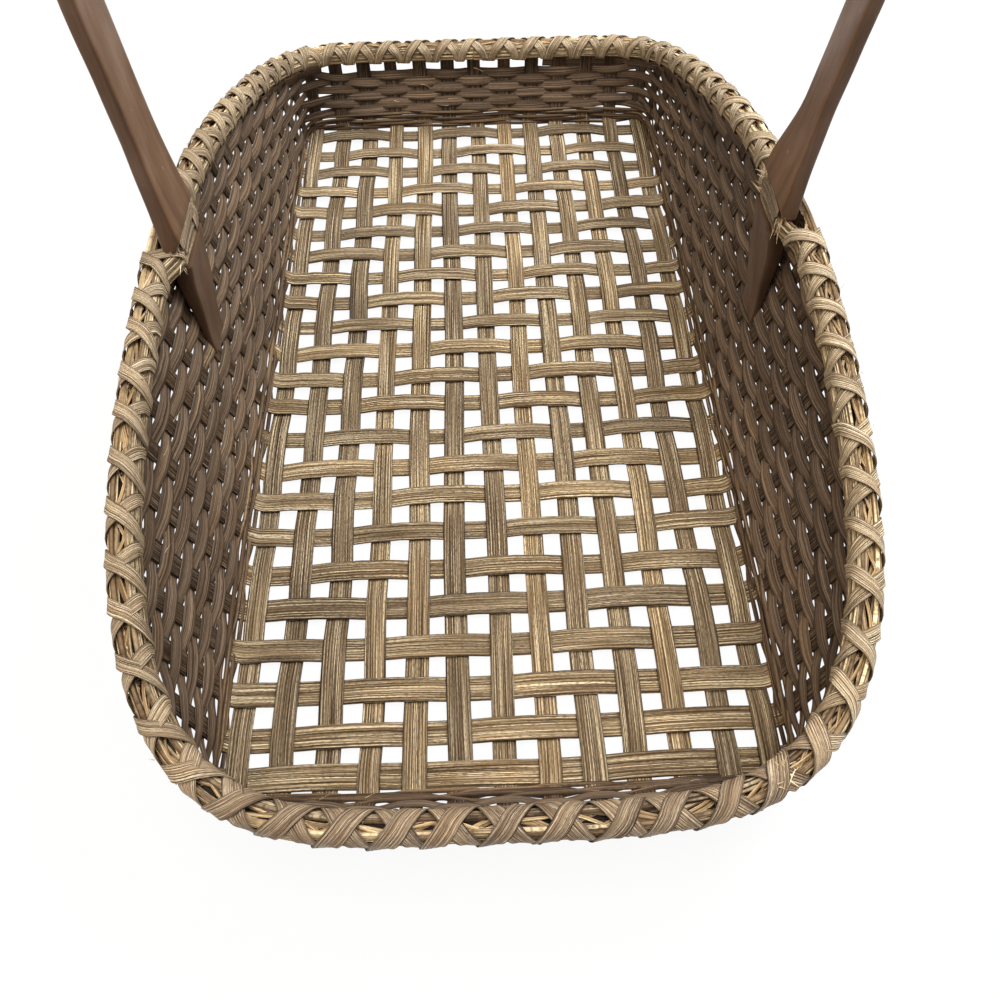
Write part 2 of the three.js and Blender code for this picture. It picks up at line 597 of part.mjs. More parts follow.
function addHandle() {
  const [left, right] = ARMS.map(armSections);
  const [leftEnd, rightEnd] = ARMS.map((arm) => Math.abs(arm.rim.p.x) + arm.spread);
  const span = (leftEnd + rightEnd) / 2 - ARM_OUTER - HANDLE_THICKNESS_TOP / 2;
  const middle = (rightEnd - leftEnd) / 2;
  const rise = HANDLE_TOP - HANDLE_THICKNESS_TOP / 2 - HANDLE_ARCH_START;
  const steps = 16;
  const arch = [];
  for (let k = 0; k <= steps; k += 1) {
    const angle = Math.PI - (Math.PI * k) / steps;
    const x = middle + span * Math.cos(angle);
    const z = HANDLE_ARCH_START + rise * Math.sin(angle);
    const outward = new THREE.Vector3(Math.cos(angle) / span, 0, Math.sin(angle) / rise).normalize();
    const centre = new THREE.Vector3(x, HANDLE_ALONG + HANDLE_SKEW * Math.cos(angle) + handleLean(z), z);
    arch.push(boardLoop(centre, outward, HANDLE_WIDTH - HANDLE_TAPER, HANDLE_THICKNESS_TOP, HANDLE_CHAMFER));
  }
  addPiece('handle', sweep([...left, ...arch, ...right.reverse()], false), COLOURS.handle, 0.5);
}

addLengthwiseStakes();
addCrosswiseStakes();
addLockRows();
addWeavers();
addRim();
addLashings();
addHandle();

export default basket;
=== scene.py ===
import math

import bmesh
import bpy
import numpy as np
from mathutils import Matrix, Vector


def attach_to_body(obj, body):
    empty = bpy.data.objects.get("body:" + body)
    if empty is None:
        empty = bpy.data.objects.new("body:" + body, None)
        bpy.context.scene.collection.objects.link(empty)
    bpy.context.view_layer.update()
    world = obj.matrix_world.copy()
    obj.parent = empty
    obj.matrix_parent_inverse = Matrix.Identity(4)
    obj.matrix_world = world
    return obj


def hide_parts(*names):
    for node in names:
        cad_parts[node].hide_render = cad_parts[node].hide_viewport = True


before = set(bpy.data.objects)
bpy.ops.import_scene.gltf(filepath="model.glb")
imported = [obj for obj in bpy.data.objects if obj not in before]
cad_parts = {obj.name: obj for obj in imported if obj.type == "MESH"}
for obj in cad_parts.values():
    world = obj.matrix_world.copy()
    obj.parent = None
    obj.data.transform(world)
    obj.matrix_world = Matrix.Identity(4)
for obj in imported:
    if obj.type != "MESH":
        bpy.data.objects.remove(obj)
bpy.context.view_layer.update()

# Gathering basket, woven from flat reed, with a bent-wood handle across its width.
# Sizes are in millimetres until a mesh is made. X is the width, Y the length, Z = 0 the floor.
MM = 0.001

# Rim, seen from above and from the side. Its ends are rounded by these powers in Y and X.
BASKET_LENGTH = 561.0
BASKET_WIDTH = 338.8
RIM_AT_NEAR_END = 60.0
RIM_AT_FAR_END = 54.0
RIM_AT_SIDES = 117.0
RIM_RISE_POWER = 1.75
NEAR_POWERS = (4.5, 4.2)
FAR_POWERS = (12.0, 10.0)
FAR_DRAW_IN = 0.19
FAR_DRAW_IN_POWER = 1.7
RIM_HALF_WIDTH = 7.1
RIM_TABLE_POINTS = 14400

# Base reeds, which turn up and become the stakes of the walls
LENGTHWISE = 13
CROSSWISE = 23
STAKES = 2 * (LENGTHWISE + CROSSWISE)
LENGTHWISE_PITCH = 21.3
CROSSWISE_PITCH = 22.45
REED_WIDTH = 11.9
REED_THICKNESS = 1.7
REED_POINT_SPACING = 2.2
REED_BEND_SOFTNESS = 2.1
BASE_LIFT = 2.3
BASE_WAVE = 1.1
BASE_EDGE = 9.0
CROSSING_HALF_LENGTH = 4.8
LENGTHWISE_CROWN = 0.3
CROSSWISE_CROWN = 0.9
NEAR_REED_SHIFT = 3.6
NEAR_FOOT_SHIFT = 4.2
FOOT_WANDER = 0.55
HEAD_WANDER = 1.0
STAKE_INTO_RIM = 3.0
STAKE_SLIM = 0.14
TURN_UP_START = 5.0
TURN_UP_HEIGHT = 9.0
WALL_BULGE = 1.25
WALL_DROP = 8.7
# How much darker the stakes are drawn in the walls than on the base: painted shade.
WALL_PAINTED_SHADE = 0.62

# Rows of the walls
LOCK_HEIGHTS = ((3.9, 6.0), (8.1,), (10.2, 12.3))
LOCK_SWING = 1.1
LOCK_DIAMETER = 2.4
LOCK_INSET = 0.5
ROWS_START = 13.4
FULL_ROWS = 6
SIDE_ROWS = 14
FIRST_ROW_PITCH = 5.6
ROW_PITCH_GROWTH = 0.155
ROW_STRETCH = 1.06
TOP_ROW_ROOM = 4.5
ROW_WANDER = 0.35
ROW_OVERLAP = 2.4
LAP_INWARD = 1.4
LAP_RAISE = 1.2
ROW_STEP = 0.1
WEAVER_WIDTH = 9.3
WEAVER_THICKNESS = 1.1
WEAVER_SWING = 1.25
ROW_UNDER_RIM = 9.0
LONGEST_SHORT_ROW = 15
FAR_SLIM = 0.2
FAR_PACKING = 0.15
CORNER_SLIM = 0.26

# Rim bundle
HOOP_THICKNESS = 3.9
HOOP_HEIGHT = 10.0
HOOP_INNER = 1.9
HOOP_RAMP = 15.0
ARM_CLEARANCE = 1.0
TOP_WRAP_CLEARANCE = 4.0
SPLINT_WIDTH = 1.6
SPLINT_THICKNESS = 0.8
# Near-black strip under the filler, put where the rim's groove is in shade: painted shade.
RIM_SHADE_STRIP_WIDTH = 4.6
RIM_SHADE_STRIP_THICKNESS = 3.0
LASHING_WIDTH = 8.2
LASHING_THICKNESS = 0.8
WRAP_STEPS = 32
WRAP_CLEAR_SIDE = 0.55
WRAP_CLEAR_TOP = 0.75
WRAP_LAYER = 0.3
WRAP_SLACK_SIDE = 0.45
WRAP_SLACK_UNDER = 0.6
WRAP_PULL = 0.10
SIDE_WRAP_SLIM = 0.22
SIDES_START = 110.0
SIDES_BLEND = 40.0
FAR_END_START = 185.0
FAR_END_BLEND = 80.0
# Painted light on the rim's sides, more on the right side, and on its far end.
SIDE_PAINTED_LIGHT = 0.49
RIGHT_SIDE_PAINTED_LIGHT = 0.11
FAR_END_PAINTED_LIGHT = 0.54
BROKEN_CORNER = (108.0, -262.0)
SPLINTERS_PER_ARM = 34
RIM_FIBRES = 70
CORNER_FIBRES = 22
WALL_FIBRES = 30

# Handle
HANDLE_WIDTH = 31.0
HANDLE_FLARE = 8.0
RIM_THICKENING = 3.5
HANDLE_TAPER = 3.5
HANDLE_THICKNESS = 7.2
HANDLE_THICKNESS_TOP = 7.0
HANDLE_CHAMFER = 1.8
HANDLE_ALONG = 7.5
HANDLE_SKEW = 4.5
HANDLE_LEAN = 0.085
HANDLE_TOP = 350.0
HANDLE_ARCH_START = 229.0
ARM_SPREAD = {-1: 0.3, 1: 8.0}
ARM_TWIST = {-1: 0.0, 1: 0.14}
ARM_OUTER = 5.0
NOTCH_DEPTH = 4.2
NOTCH_REACH = 5.4
# Painted shade on the handle's near side, which faces away from the lamps.
NEAR_SIDE_PAINTED_SHADE = 0.4
HANDLE_LEG = 53.0
LEG_WIDENING = 3.0
LEG_NARROWING = 12.0
LEG_THICKNESS = 10.0
LEG_TIP_THICKNESS = 2.2
LEG_TUCK = 4.2
# Painted shade on the leg, which hangs inside the wall below the rim.
LEG_PAINTED_SHADE = 0.58

# Where the picture is taken from
CAMERA_PLACE = (-3.81, -309.68, 379.4)
CAMERA_YAW = -0.035
CAMERA_PITCH = 1.050
CAMERA_ROLL = -0.009
LENS_LENGTH = 27.04
FILM_WIDTH = 36.0

HIGH = np.array([0.0, 0.0, 1.0])
rng = np.random.default_rng(22)


def smooth(t):
    t = np.clip(t, 0.0, 1.0)
    return t * t * (3 - 2 * t)


def unit(v):
    return v / np.maximum(np.linalg.norm(v, axis=-1, keepdims=True), 1e-9)


def lengths_along(points):
    steps = np.linalg.norm(np.diff(points, axis=0), axis=1)
    return np.concatenate([[0], np.cumsum(steps)])


def apart(a, b, around):
    """How far apart a and b are on a loop of that length."""
    return np.abs(np.mod(a - b + around / 2, around) - around / 2)


# The rim's middle line

RIM_A = BASKET_WIDTH / 2 - RIM_HALF_WIDTH
RIM_B = BASKET_LENGTH / 2 - RIM_HALF_WIDTH


def rim_table():
    """Plan of the rim's middle line, clockwise from the middle of the far end, with its lengths."""
    angle = math.pi / 2 - 2 * math.pi * np.arange(RIM_TABLE_POINTS) / RIM_TABLE_POINTS
    c, s = np.cos(angle), np.sin(angle)
    far = s > 0
    y = RIM_B * np.sign(s) * np.abs(s) ** (2 / np.where(far, FAR_POWERS[0], NEAR_POWERS[0]))
    drawn = np.where(far, 1 - FAR_DRAW_IN * np.clip(y / RIM_B, 0, 1) ** FAR_DRAW_IN_POWER, 1.0)
    x = RIM_A * drawn * np.sign(c) * np.abs(c) ** (2 / np.where(far, FAR_POWERS[1], NEAR_POWERS[1]))
    loop = np.column_stack([x, y])
    loop = np.vstack([loop, loop[:1]])
    return loop, lengths_along(loop)


RIM_LOOP, RIM_LENGTHS = rim_table()
RIM_LENGTH = RIM_LENGTHS[-1]


def rim_plan(s):
    s = np.mod(s, RIM_LENGTH)
    return np.column_stack([np.interp(s, RIM_LENGTHS, column) for column in RIM_LOOP.T])


def rim_height(y):
    """Low at both ends and high in the middle of the sides."""
    share = np.clip(np.abs(y) / RIM_B, 0, 1)
    end = np.where(np.asarray(y) > 0, RIM_AT_FAR_END, RIM_AT_NEAR_END)
    return end + (RIM_AT_SIDES - end) * (1 - share ** RIM_RISE_POWER)


def rim_frame(s):
    """Points, directions along the rim and outward normals at distances s."""
    s = np.atleast_1d(np.asarray(s, float))
    reach = 5.0
    p = rim_plan(s)
    ahead, behind = rim_plan(s + reach), rim_plan(s - reach)
    points = np.column_stack([p, rim_height(p[:, 1])])
    rise = rim_height(ahead[:, 1]) - rim_height(behind[:, 1])
    along = unit(np.column_stack([ahead - behind, rise]))
    flat = unit(np.column_stack([ahead - behind, np.zeros(len(s))]))
    out = np.column_stack([-flat[:, 1], flat[:, 0], np.zeros(len(s))])
    return points, along, out


# Stakes: where each one turns up from the base, and where it meets the rim. They are numbered
# clockwise from the left end of the far wall, and each wall has a middle stake.

FAR_MIDDLE = (LENGTHWISE - 1) / 2
RIGHT_MIDDLE = LENGTHWISE + (CROSSWISE - 1) / 2
LEFT_MIDDLE = RIGHT_MIDDLE + STAKES / 2
BASE_X = FAR_MIDDLE * LENGTHWISE_PITCH + BASE_EDGE
BASE_Y = (CROSSWISE - 1) / 2 * CROSSWISE_PITCH + BASE_EDGE


def stake_feet():
    """Places of the stakes' feet, and directions along the base's edge, clockwise from the far end."""
    feet, along = [], []
    for count, pitch, way, edge in (
            (LENGTHWISE, LENGTHWISE_PITCH, (1, 0, 0), (0, BASE_Y, BASE_LIFT)),
            (CROSSWISE, CROSSWISE_PITCH, (0, -1, 0), (BASE_X, 0, BASE_LIFT)),
            (LENGTHWISE, LENGTHWISE_PITCH, (-1, 0, 0), (0, NEAR_FOOT_SHIFT - BASE_Y, BASE_LIFT)),
            (CROSSWISE, CROSSWISE_PITCH, (0, 1, 0), (-BASE_X, 0, BASE_LIFT))):
        for k in range(count):
            along.append(way)
            feet.append(np.array(edge) + (k - (count - 1) / 2) * pitch * np.array(way))
    feet, along = np.array(feet), np.array(along)
    feet += along * rng.normal(0, FOOT_WANDER, (STAKES, 1))
    nearest_crosswise = [LENGTHWISE + CROSSWISE - 1, STAKES - CROSSWISE]
    feet[nearest_crosswise, 1] += NEAR_REED_SHIFT
    return feet, along


FEET, FEET_ALONG = stake_feet()
HEAD_S = (np.arange(STAKES) - FAR_MIDDLE) / STAKES * RIM_LENGTH + rng.normal(0, HEAD_WANDER, STAKES)
HEADS, HEADS_ALONG = rim_frame(HEAD_S)[:2]


def wall_lean(share):
    return 1 - (1 - np.clip(share, 0, 1)) ** WALL_BULGE


def wall_point(u, share):
    """Middle surface of the wall at whole stakes u and height shares (0 base, 1 under the rim)."""
    u = np.mod(np.asarray(u, int), STAKES)
    lean = wall_lean(share)[..., None]
    p = FEET[u] * (1 - lean) + HEADS[u] * lean
    p[..., 2] = BASE_LIFT + share * (HEADS[u, 2] - WALL_DROP - BASE_LIFT)
    return p


def wall_out(u, share):
    u = np.mod(np.asarray(u, int), STAKES)
    step = 0.03
    up = unit(wall_point(u, np.minimum(share + step, 1)) - wall_point(u, np.maximum(share - step, 0)))
    lean = wall_lean(share)[..., None]
    along = unit(FEET_ALONG[u] * (1 - lean) + HEADS_ALONG[u] * lean)
    return unit(np.cross(up, along))


def share_at(u, z):
    u = np.mod(np.asarray(u, int), STAKES)
    return (z - BASE_LIFT) / (HEADS[u, 2] - WALL_DROP - BASE_LIFT)


def between(values, u):
    """Smooth cyclic interpolation of one row of values per stake at real-valued u."""
    i = np.floor(u).astype(int)
    t = (u - i)[:, None]
    a, b, c, d = (values[np.mod(i + k, STAKES)] for k in (-1, 0, 1, 2))
    return 0.5 * (2 * b + (c - a) * t + (2 * a - 5 * b + 4 * c - d) * t ** 2
                  + (3 * b - a - 3 * c + d) * t ** 3)


# Finishes

def srgb(r, g, b):
    """Colour as a maker reads it off, 0 to 255, turned into light values."""
    return tuple(v / 12.92 if v <= 0.04045 else ((v + 0.055) / 1.055) ** 2.4
                 for v in (r / 255, g / 255, b / 255))


def feed(tree, socket, value):
    """Links a socket to another one, or sets it to a plain value."""
    if isinstance(value, bpy.types.NodeSocket):
        tree.links.new(value, socket)
    else:
        socket.default_value = value


def add_node(tree, kind, inputs=(), **settings):
    node = tree.nodes.new(kind)
    for key, value in settings.items():
        setattr(node, key, value)
    for key, value in dict(inputs).items():
        feed(tree, node.inputs[key], value)
    return node


class Finish:
    """A procedural material, put together from a few plain kinds of node."""

    def __init__(self, name):
        self.material = bpy.data.materials.new(name)
        self.material.use_nodes = True
        self.tree = self.material.node_tree
        self.surface = self.tree.nodes["Principled BSDF"]

    def give(self, name, value):
        feed(self.tree, self.surface.inputs[name], value)

    def node(self, kind, inputs=(), **settings):
        return add_node(self.tree, kind, inputs, **settings)

    def attribute(self, name):
        return self.node("ShaderNodeAttribute", attribute_name=name).outputs["Fac"]

    def math(self, operation, a, b=0.0):
        return self.node("ShaderNodeMath", {0: a, 1: b}, operation=operation).outputs[0]

    def times(self, a, b):
        return self.math("MULTIPLY", a, b)

    def plus(self, a, b):
        return self.math("ADD", a, b)

    def vector(self, x, y, z):
        return self.node("ShaderNodeCombineXYZ", {0: x, 1: y, 2: z}).outputs[0]

    def noise(self, vector, detail, roughness=0.5, distortion=0.0):
        look = {"Scale": 1.0, "Detail": detail, "Roughness": roughness, "Distortion": distortion}
        return self.node("ShaderNodeTexNoise", {"Vector": vector, **look}).outputs["Fac"]

    def ramp(self, factor, stops):
        node = self.node("ShaderNodeValToRGB", {"Fac": factor})
        while len(node.color_ramp.elements) < len(stops):
            node.color_ramp.elements.new(0.5)
        for element, (place, colour) in zip(node.color_ramp.elements, stops):
            element.position = place
            element.color = (*colour, 1)
        return node.outputs["Color"]

    def spread(self, value, low, high, to_low=0.0, to_high=1.0):
        ends = {"From Min": low, "From Max": high, "To Min": to_low, "To Max": to_high}
        return self.node("ShaderNodeMapRange", {"Value": value, **ends}).outputs["Result"]

    def mix(self, factor, a, b, blend="MIX"):
        node = self.node("ShaderNodeMix", {"Factor": factor, 6: a, 7: b},
                         data_type="RGBA", blend_type=blend)
        return node.outputs[2]

    def shaded(self, colour, green_power, blue_power):
        """The colour times the attribute shade, which carries painted shade and painted light, and turns the
        colour warmer as it darkens it.
        """
        shade = self.attribute("shade")
        green = self.math("POWER", shade, green_power)
        blue = self.math("POWER", shade, blue_power)
        tint = self.node("ShaderNodeCombineColor", {0: shade, 1: green, 2: blue})
        return self.mix(1.0, colour, tint.outputs[0], "MULTIPLY")

    def bump(self, height, distance, strength):
        inputs = {"Height": height, "Distance": distance, "Strength": strength}
        self.give("Normal", self.node("ShaderNodeBump", inputs).outputs["Normal"])


def reed_finish(name, dark, middle, light, thread, pale=0.5, pore=0.75, ribs=0.0, rib_pitch=2.4,
                grain=1.0, reach=1.0, half_width=5.6, roughness=0.62, sheen=0.25):
    """Dried reed: long fibres, pale and dark threads, patches of stain, painted shade along the edges, and on
    ribbed reed painted shade in the grooves and a painted highlight on the crests.
    """
    dark, middle, light, thread = (srgb(*colour) for colour in (dark, middle, light, thread))
    thread_colour = (*thread, 1)
    pore_and_groove_shade_colour = (*(0.5 * v for v in dark), 1)
    edge_shade_colour = (*(0.45 * v for v in dark), 1)
    f = Finish(name)
    across, along, tone = f.attribute("across"), f.attribute("along"), f.attribute("tone")
    seed = f.times(tone, 413.0)

    def fibres(fineness, length, detail):
        place = f.vector(f.times(across, fineness), f.times(along, 1 / (length * reach)), seed)
        return f.noise(place, detail, roughness=0.6)

    fibre = fibres(1.2 * grain, 130.0, 4.0)
    fine = fibres(1.8 * grain, 90.0, 1.0)
    band = fibres(0.3, 160.0, 2.0)
    grit = f.noise(f.vector(f.times(across, 2.2), f.times(along, 0.45), seed), 3.0)
    stain = f.noise(f.vector(0.0, f.times(along, 0.016), f.plus(seed, 7.0)), 3.0)
    shade = f.plus(f.times(fibre, 0.7), f.times(band, 0.3))
    colour = f.ramp(shade, [(0.40, dark), (0.5, middle), (0.60, light)])
    pale_threads = f.times(f.spread(fine, 0.53, 0.64, 0.0, pale), f.spread(grit, 0.36, 0.52, 0.25, 1.0))
    colour = f.mix(pale_threads, colour, thread_colour)
    pores = f.times(f.spread(fine, 0.46, 0.37, 0.0, pore), f.spread(grit, 0.62, 0.42, 0.3, 1.0))
    colour = f.mix(pores, colour, pore_and_groove_shade_colour)
    age = f.plus(f.times(stain, 0.75), f.times(tone, 0.42))
    aged = f.ramp(age, [(0.32, (0.66, 0.65, 0.66)), (0.6, (0.95, 0.95, 0.95)), (0.82, (1.16, 1.12, 1.04))])
    colour = f.mix(1.0, colour, aged, "MULTIPLY")
    # Painted shade darkening the reed towards its edges.
    edge = f.spread(f.math("ABSOLUTE", across), half_width * 0.78, half_width, 0.0, 0.6)
    colour = f.mix(edge, colour, edge_shade_colour)
    height = f.plus(f.times(fibre, 0.6), f.times(fine, 0.4))
    if ribs:
        # Ribs: painted shade in the grooves and a painted highlight on the crests, besides the bump.
        wander = f.plus(across, f.times(stain, 2.2))
        rib = f.math("COSINE", f.times(wander, 2 * math.pi / rib_pitch))
        groove = f.times(f.spread(rib, -0.3, -1.0, 0.0, ribs), f.spread(grit, 0.35, 0.6, 1.0, 0.4))
        colour = f.mix(groove, colour, pore_and_groove_shade_colour)
        crest_highlight = f.times(f.spread(rib, 0.5, 1.0, 0.0, ribs * 0.5), f.spread(grit, 0.4, 0.6))
        colour = f.mix(crest_highlight, colour, thread_colour)
        height = f.plus(height, f.times(rib, 0.35))
    f.bump(height, 0.0007, 0.9)
    f.give("Base Color", f.shaded(colour, 1.12, 1.1))
    f.give("Roughness", f.spread(fibre, 0.35, 0.65, roughness + 0.08, roughness - 0.1))
    f.give("Specular IOR Level", sheen)
    return f.material


def handle_finish():
    """Smooth brown wood: long grain, dark pores, patches worn pale, and a few nicks."""
    f = Finish("worn handle wood")
    across, along = f.attribute("across"), f.attribute("along")

    def pattern(crosswise, lengthwise, seed, detail, **look):
        return f.noise(f.vector(f.times(across, crosswise), f.times(along, lengthwise), seed), detail, **look)

    grain = pattern(0.22, 0.008, 3.1, 6.0, roughness=0.6, distortion=0.4)
    pore = pattern(1.6, 0.09, 9.0, 3.0)
    wear = pattern(0.07, 0.03, 5.0, 4.0)
    nick = pattern(0.3, 0.25, 1.0, 1.0)
    colour = f.ramp(grain, [(0.3, srgb(98, 71, 50)), (0.5, srgb(115, 86, 63)), (0.72, srgb(127, 98, 73))])
    colour = f.mix(f.spread(pore, 0.42, 0.32, 0.0, 0.3), colour, (*srgb(66, 44, 32), 1))
    colour = f.mix(f.spread(wear, 0.45, 0.7, 0.0, 0.5), colour, (*srgb(146, 117, 97), 1))
    colour = f.mix(f.spread(nick, 0.27, 0.2, 0.0, 0.8), colour, (*srgb(176, 140, 110), 1))
    f.bump(f.plus(f.times(grain, 0.7), f.times(pore, 0.3)), 0.0004, 0.4)
    f.give("Base Color", f.shaded(colour, 1.1, 1.2))
    f.give("Roughness", f.spread(wear, 0.3, 0.7, 0.56, 0.42))
    f.give("Specular IOR Level", 0.3)
    return f.material


BASE_REED = reed_finish("base reed", (70, 51, 31), (121, 98, 69), (152, 128, 95), (244, 224, 186),
                        pale=0.85, pore=0.65, ribs=0.35, rib_pitch=1.45, grain=1.2, reach=0.9,
                        half_width=5.95)
WEAVER = reed_finish("wall weaver", (68, 51, 37), (107, 87, 69), (136, 114, 93), (182, 160, 136),
                     pale=0.6, half_width=3.5, roughness=0.58, sheen=0.3)
LOCK_REED = reed_finish("round lock reed", (66, 46, 32), (98, 76, 54), (130, 106, 76), (196, 168, 126),
                        half_width=1.3)
HOOP = reed_finish("rim hoop", (70, 50, 32), (126, 101, 74), (166, 140, 106), (246, 224, 184),
                   pale=0.85, ribs=0.5, rib_pitch=2.5, half_width=6.5)
LASHING = reed_finish("rim lashing", (84, 62, 44), (141, 116, 89), (172, 148, 118), (246, 228, 198),
                      pale=0.6, pore=0.45, ribs=0.2, rib_pitch=1.1, grain=1.6, half_width=3.9,
                      roughness=0.56, sheen=0.35)
FILLER = reed_finish("split rim filler", (100, 75, 48), (162, 133, 96), (206, 178, 136), (246, 228, 190),
                     pale=0.6, half_width=0.95)
# Near-black finish of the strip of painted shade in the rim's groove.
RIM_SHADE_STRIP = reed_finish("painted shade strip in rim", (18, 11, 6), (30, 20, 11), (46, 32, 19), (84, 64, 40),
                   pale=0.3, half_width=4.0)
SPLINTER = reed_finish("frayed splinter", (176, 146, 108), (220, 196, 156), (246, 230, 200),
                       (255, 246, 224), half_width=1.0)
HANDLE_WOOD = handle_finish()


# Reeds: a flat section swept along a path

def reed_tree():
    tree = bpy.data.node_groups.new("flat reed along a path", "GeometryNodeTree")
    for name, kind in (("Path", "Geometry"), ("Section", "Object"), ("Width", "Float"),
                       ("Thickness", "Float"), ("Finish", "Material")):
        tree.interface.new_socket(name, in_out="INPUT", socket_type="NodeSocket" + kind)
    tree.interface.new_socket("Reed", in_out="OUTPUT", socket_type="NodeSocketGeometry")

    def add(kind, inputs=(), **settings):
        return add_node(tree, kind, inputs, **settings).outputs

    given = add("NodeGroupInput")
    facing = add("GeometryNodeInputNamedAttribute", {"Name": "flat"}, data_type="FLOAT_VECTOR")
    girth = add("GeometryNodeInputNamedAttribute", {"Name": "girth"}, data_type="FLOAT")
    path = add("GeometryNodeMeshToCurve", {"Mesh": given["Path"]})
    path = add("GeometryNodeSetCurveNormal", {"Curve": path["Curve"], "Normal": facing["Attribute"]},
               mode="FREE")
    shape = add("GeometryNodeObjectInfo", {"Object": given["Section"]})
    size = add("ShaderNodeCombineXYZ", {"X": given["Thickness"], "Y": given["Width"], "Z": 1.0})
    shape = add("GeometryNodeTransform", {"Geometry": shape["Geometry"], "Scale": size["Vector"]})
    shape = add("GeometryNodeMeshToCurve", {"Mesh": shape["Geometry"]})
    place = add("GeometryNodeInputPosition")
    sideways = add("ShaderNodeSeparateXYZ", {"Vector": place["Position"]})
    across = add("ShaderNodeMath", {0: sideways["Y"], 1: 1 / MM}, operation="MULTIPLY")
    shape = add("GeometryNodeStoreNamedAttribute",
                {"Geometry": shape["Curve"], "Name": "across", "Value": across["Value"]},
                data_type="FLOAT", domain="POINT")
    reed = add("GeometryNodeCurveToMesh", {"Curve": path["Curve"], "Profile Curve": shape["Geometry"],
                                           "Scale": girth["Attribute"], "Fill Caps": True})
    reed = add("GeometryNodeSetShadeSmooth", {"Geometry": reed["Mesh"]})
    reed = add("GeometryNodeRealizeInstances", {"Geometry": reed["Geometry"]})
    reed = add("GeometryNodeSetMaterial", {"Geometry": reed["Geometry"], "Material": given["Finish"]})
    add("NodeGroupOutput", {"Reed": reed["Geometry"]})
    return tree


REED_TREE = reed_tree()
REED_INPUTS = {item.name: item.identifier for item in REED_TREE.interface.items_tree
               if item.in_out == "INPUT"}


def section(name, count, squareness, ribs=0, rib_depth=0.0, crown=2.0):
    """A closed cross-section one wide (Y) and one thick (X): flat oval, with ribs if it has any."""
    a = 2 * math.pi * np.arange(count) / count
    y = 0.5 * np.sign(np.cos(a)) * np.abs(np.cos(a)) ** squareness
    x = 0.5 * np.sign(np.sin(a)) * np.abs(1 - np.abs(2 * y) ** crown) ** 0.5
    if ribs:
        x = x * (1 + rib_depth * np.cos(2 * math.pi * ribs * y))
    mesh = bpy.data.meshes.new(name)
    edges = [(k, (k + 1) % count) for k in range(count)]
    mesh.from_pydata(np.column_stack([x, y, 0 * x]).tolist(), edges, [])
    return bpy.data.objects.new(name, mesh)


FLAT = section("flat section", 16, 0.75, crown=5.0)
WEAVER_SECTION = section("weaver section", 14, 0.8, crown=3.5)
RIBBED = section("ribbed section", 24, 0.9, ribs=4, rib_depth=0.07, crown=5.0)
HOOP_SECTION = section("hoop section", 28, 0.85, ribs=4, rib_depth=0.035, crown=3.0)
ROUND = section("round section", 8, 1.0)


def strand(points, facing, girth=1.0, tone=None, closed=False, shade=1.0):
    """One strand of reed. Its flat side faces the given way, squared up to the path."""
    points = np.asarray(points, float)
    if closed:
        tangent = unit(np.roll(points, -1, axis=0) - np.roll(points, 1, axis=0))
    else:
        tangent = unit(np.gradient(points, axis=0))
    facing = np.broadcast_to(facing, points.shape)
    facing = unit(facing - tangent * np.sum(facing * tangent, axis=1, keepdims=True))
    along = lengths_along(points) + 900 * rng.random()
    tone = rng.random() if tone is None else tone
    count = len(points)
    return {"points": points, "facing": facing, "closed": closed, "along": along,
            "girth": np.broadcast_to(girth, count), "tone": np.full(count, tone),
            "shade": np.broadcast_to(shade, count)}


def follow(points, facing, spacing, soften):
    """Resamples a rough path finely, rounds its corners over about soften, and spaces it evenly."""
    fine = 0.6
    lengths = lengths_along(points)
    at = np.arange(0, lengths[-1], fine)
    columns = np.column_stack([points, facing]).T
    both = np.column_stack([np.interp(at, lengths, column) for column in columns])
    reach = int(3 * soften / fine)
    weights = np.exp(-0.5 * (np.arange(-reach, reach + 1) * fine / soften) ** 2)
    weights /= weights.sum()
    padded = np.vstack([2 * both[0] - both[reach:0:-1], both, 2 * both[-1] - both[-2:-reach - 2:-1]])
    both = np.column_stack([np.convolve(column, weights, "valid") for column in padded.T])
    pick = np.linspace(0, len(both) - 1, max(2, int(lengths[-1] / spacing))).astype(int)
    return both[pick, :3], unit(both[pick, 3:])


def store(mesh, name, values):
    mesh.attributes.new(name, "FLOAT", "POINT").data.foreach_set("value", values)


def attach(piece, nodes):
    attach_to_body(piece, "root")
    if nodes:
        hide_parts(*nodes)


def reeds(name, strands, shape, width, thickness, finish, nodes=()):
    """One piece of one or more strands, swept by the tree and kept as a plain mesh."""
    edges, start = [], 0
    for s in strands:
        count = len(s["points"])
        edges += [(start + k, start + k + 1) for k in range(count - 1)]
        if s["closed"]:
            edges.append((start + count - 1, start))
        start += count
    mesh = bpy.data.meshes.new(name)
    mesh.from_pydata((np.vstack([s["points"] for s in strands]) * MM).tolist(), edges, [])
    facing = mesh.attributes.new("flat", "FLOAT_VECTOR", "POINT")
    facing.data.foreach_set("vector", np.vstack([s["facing"] for s in strands]).ravel())
    for key in ("girth", "along", "shade", "tone"):
        store(mesh, key, np.concatenate([s[key] for s in strands]))
    piece = bpy.data.objects.new(name, mesh)
    bpy.context.collection.objects.link(piece)
    modifier = piece.modifiers.new("reed", "NODES")
    modifier.node_group = REED_TREE
    given = {"Section": shape, "Width": width * MM, "Thickness": thickness * MM, "Finish": finish}
    for key, value in given.items():
        modifier[REED_INPUTS[key]] = value
    view = bpy.context.evaluated_depsgraph_get()
    made = bpy.data.meshes.new_from_object(piece.evaluated_get(view))
    piece.modifiers.clear()
    piece.data = made
    made.name = name
    attach(piece, nodes)


# Base reeds and stakes

def runs_over(row, column):
    """Twill of the base, over two and under two. The first reed crosses like the third one."""
    if row == 1:
        row = 3
    return (column + row) % 4 in (0, 1)


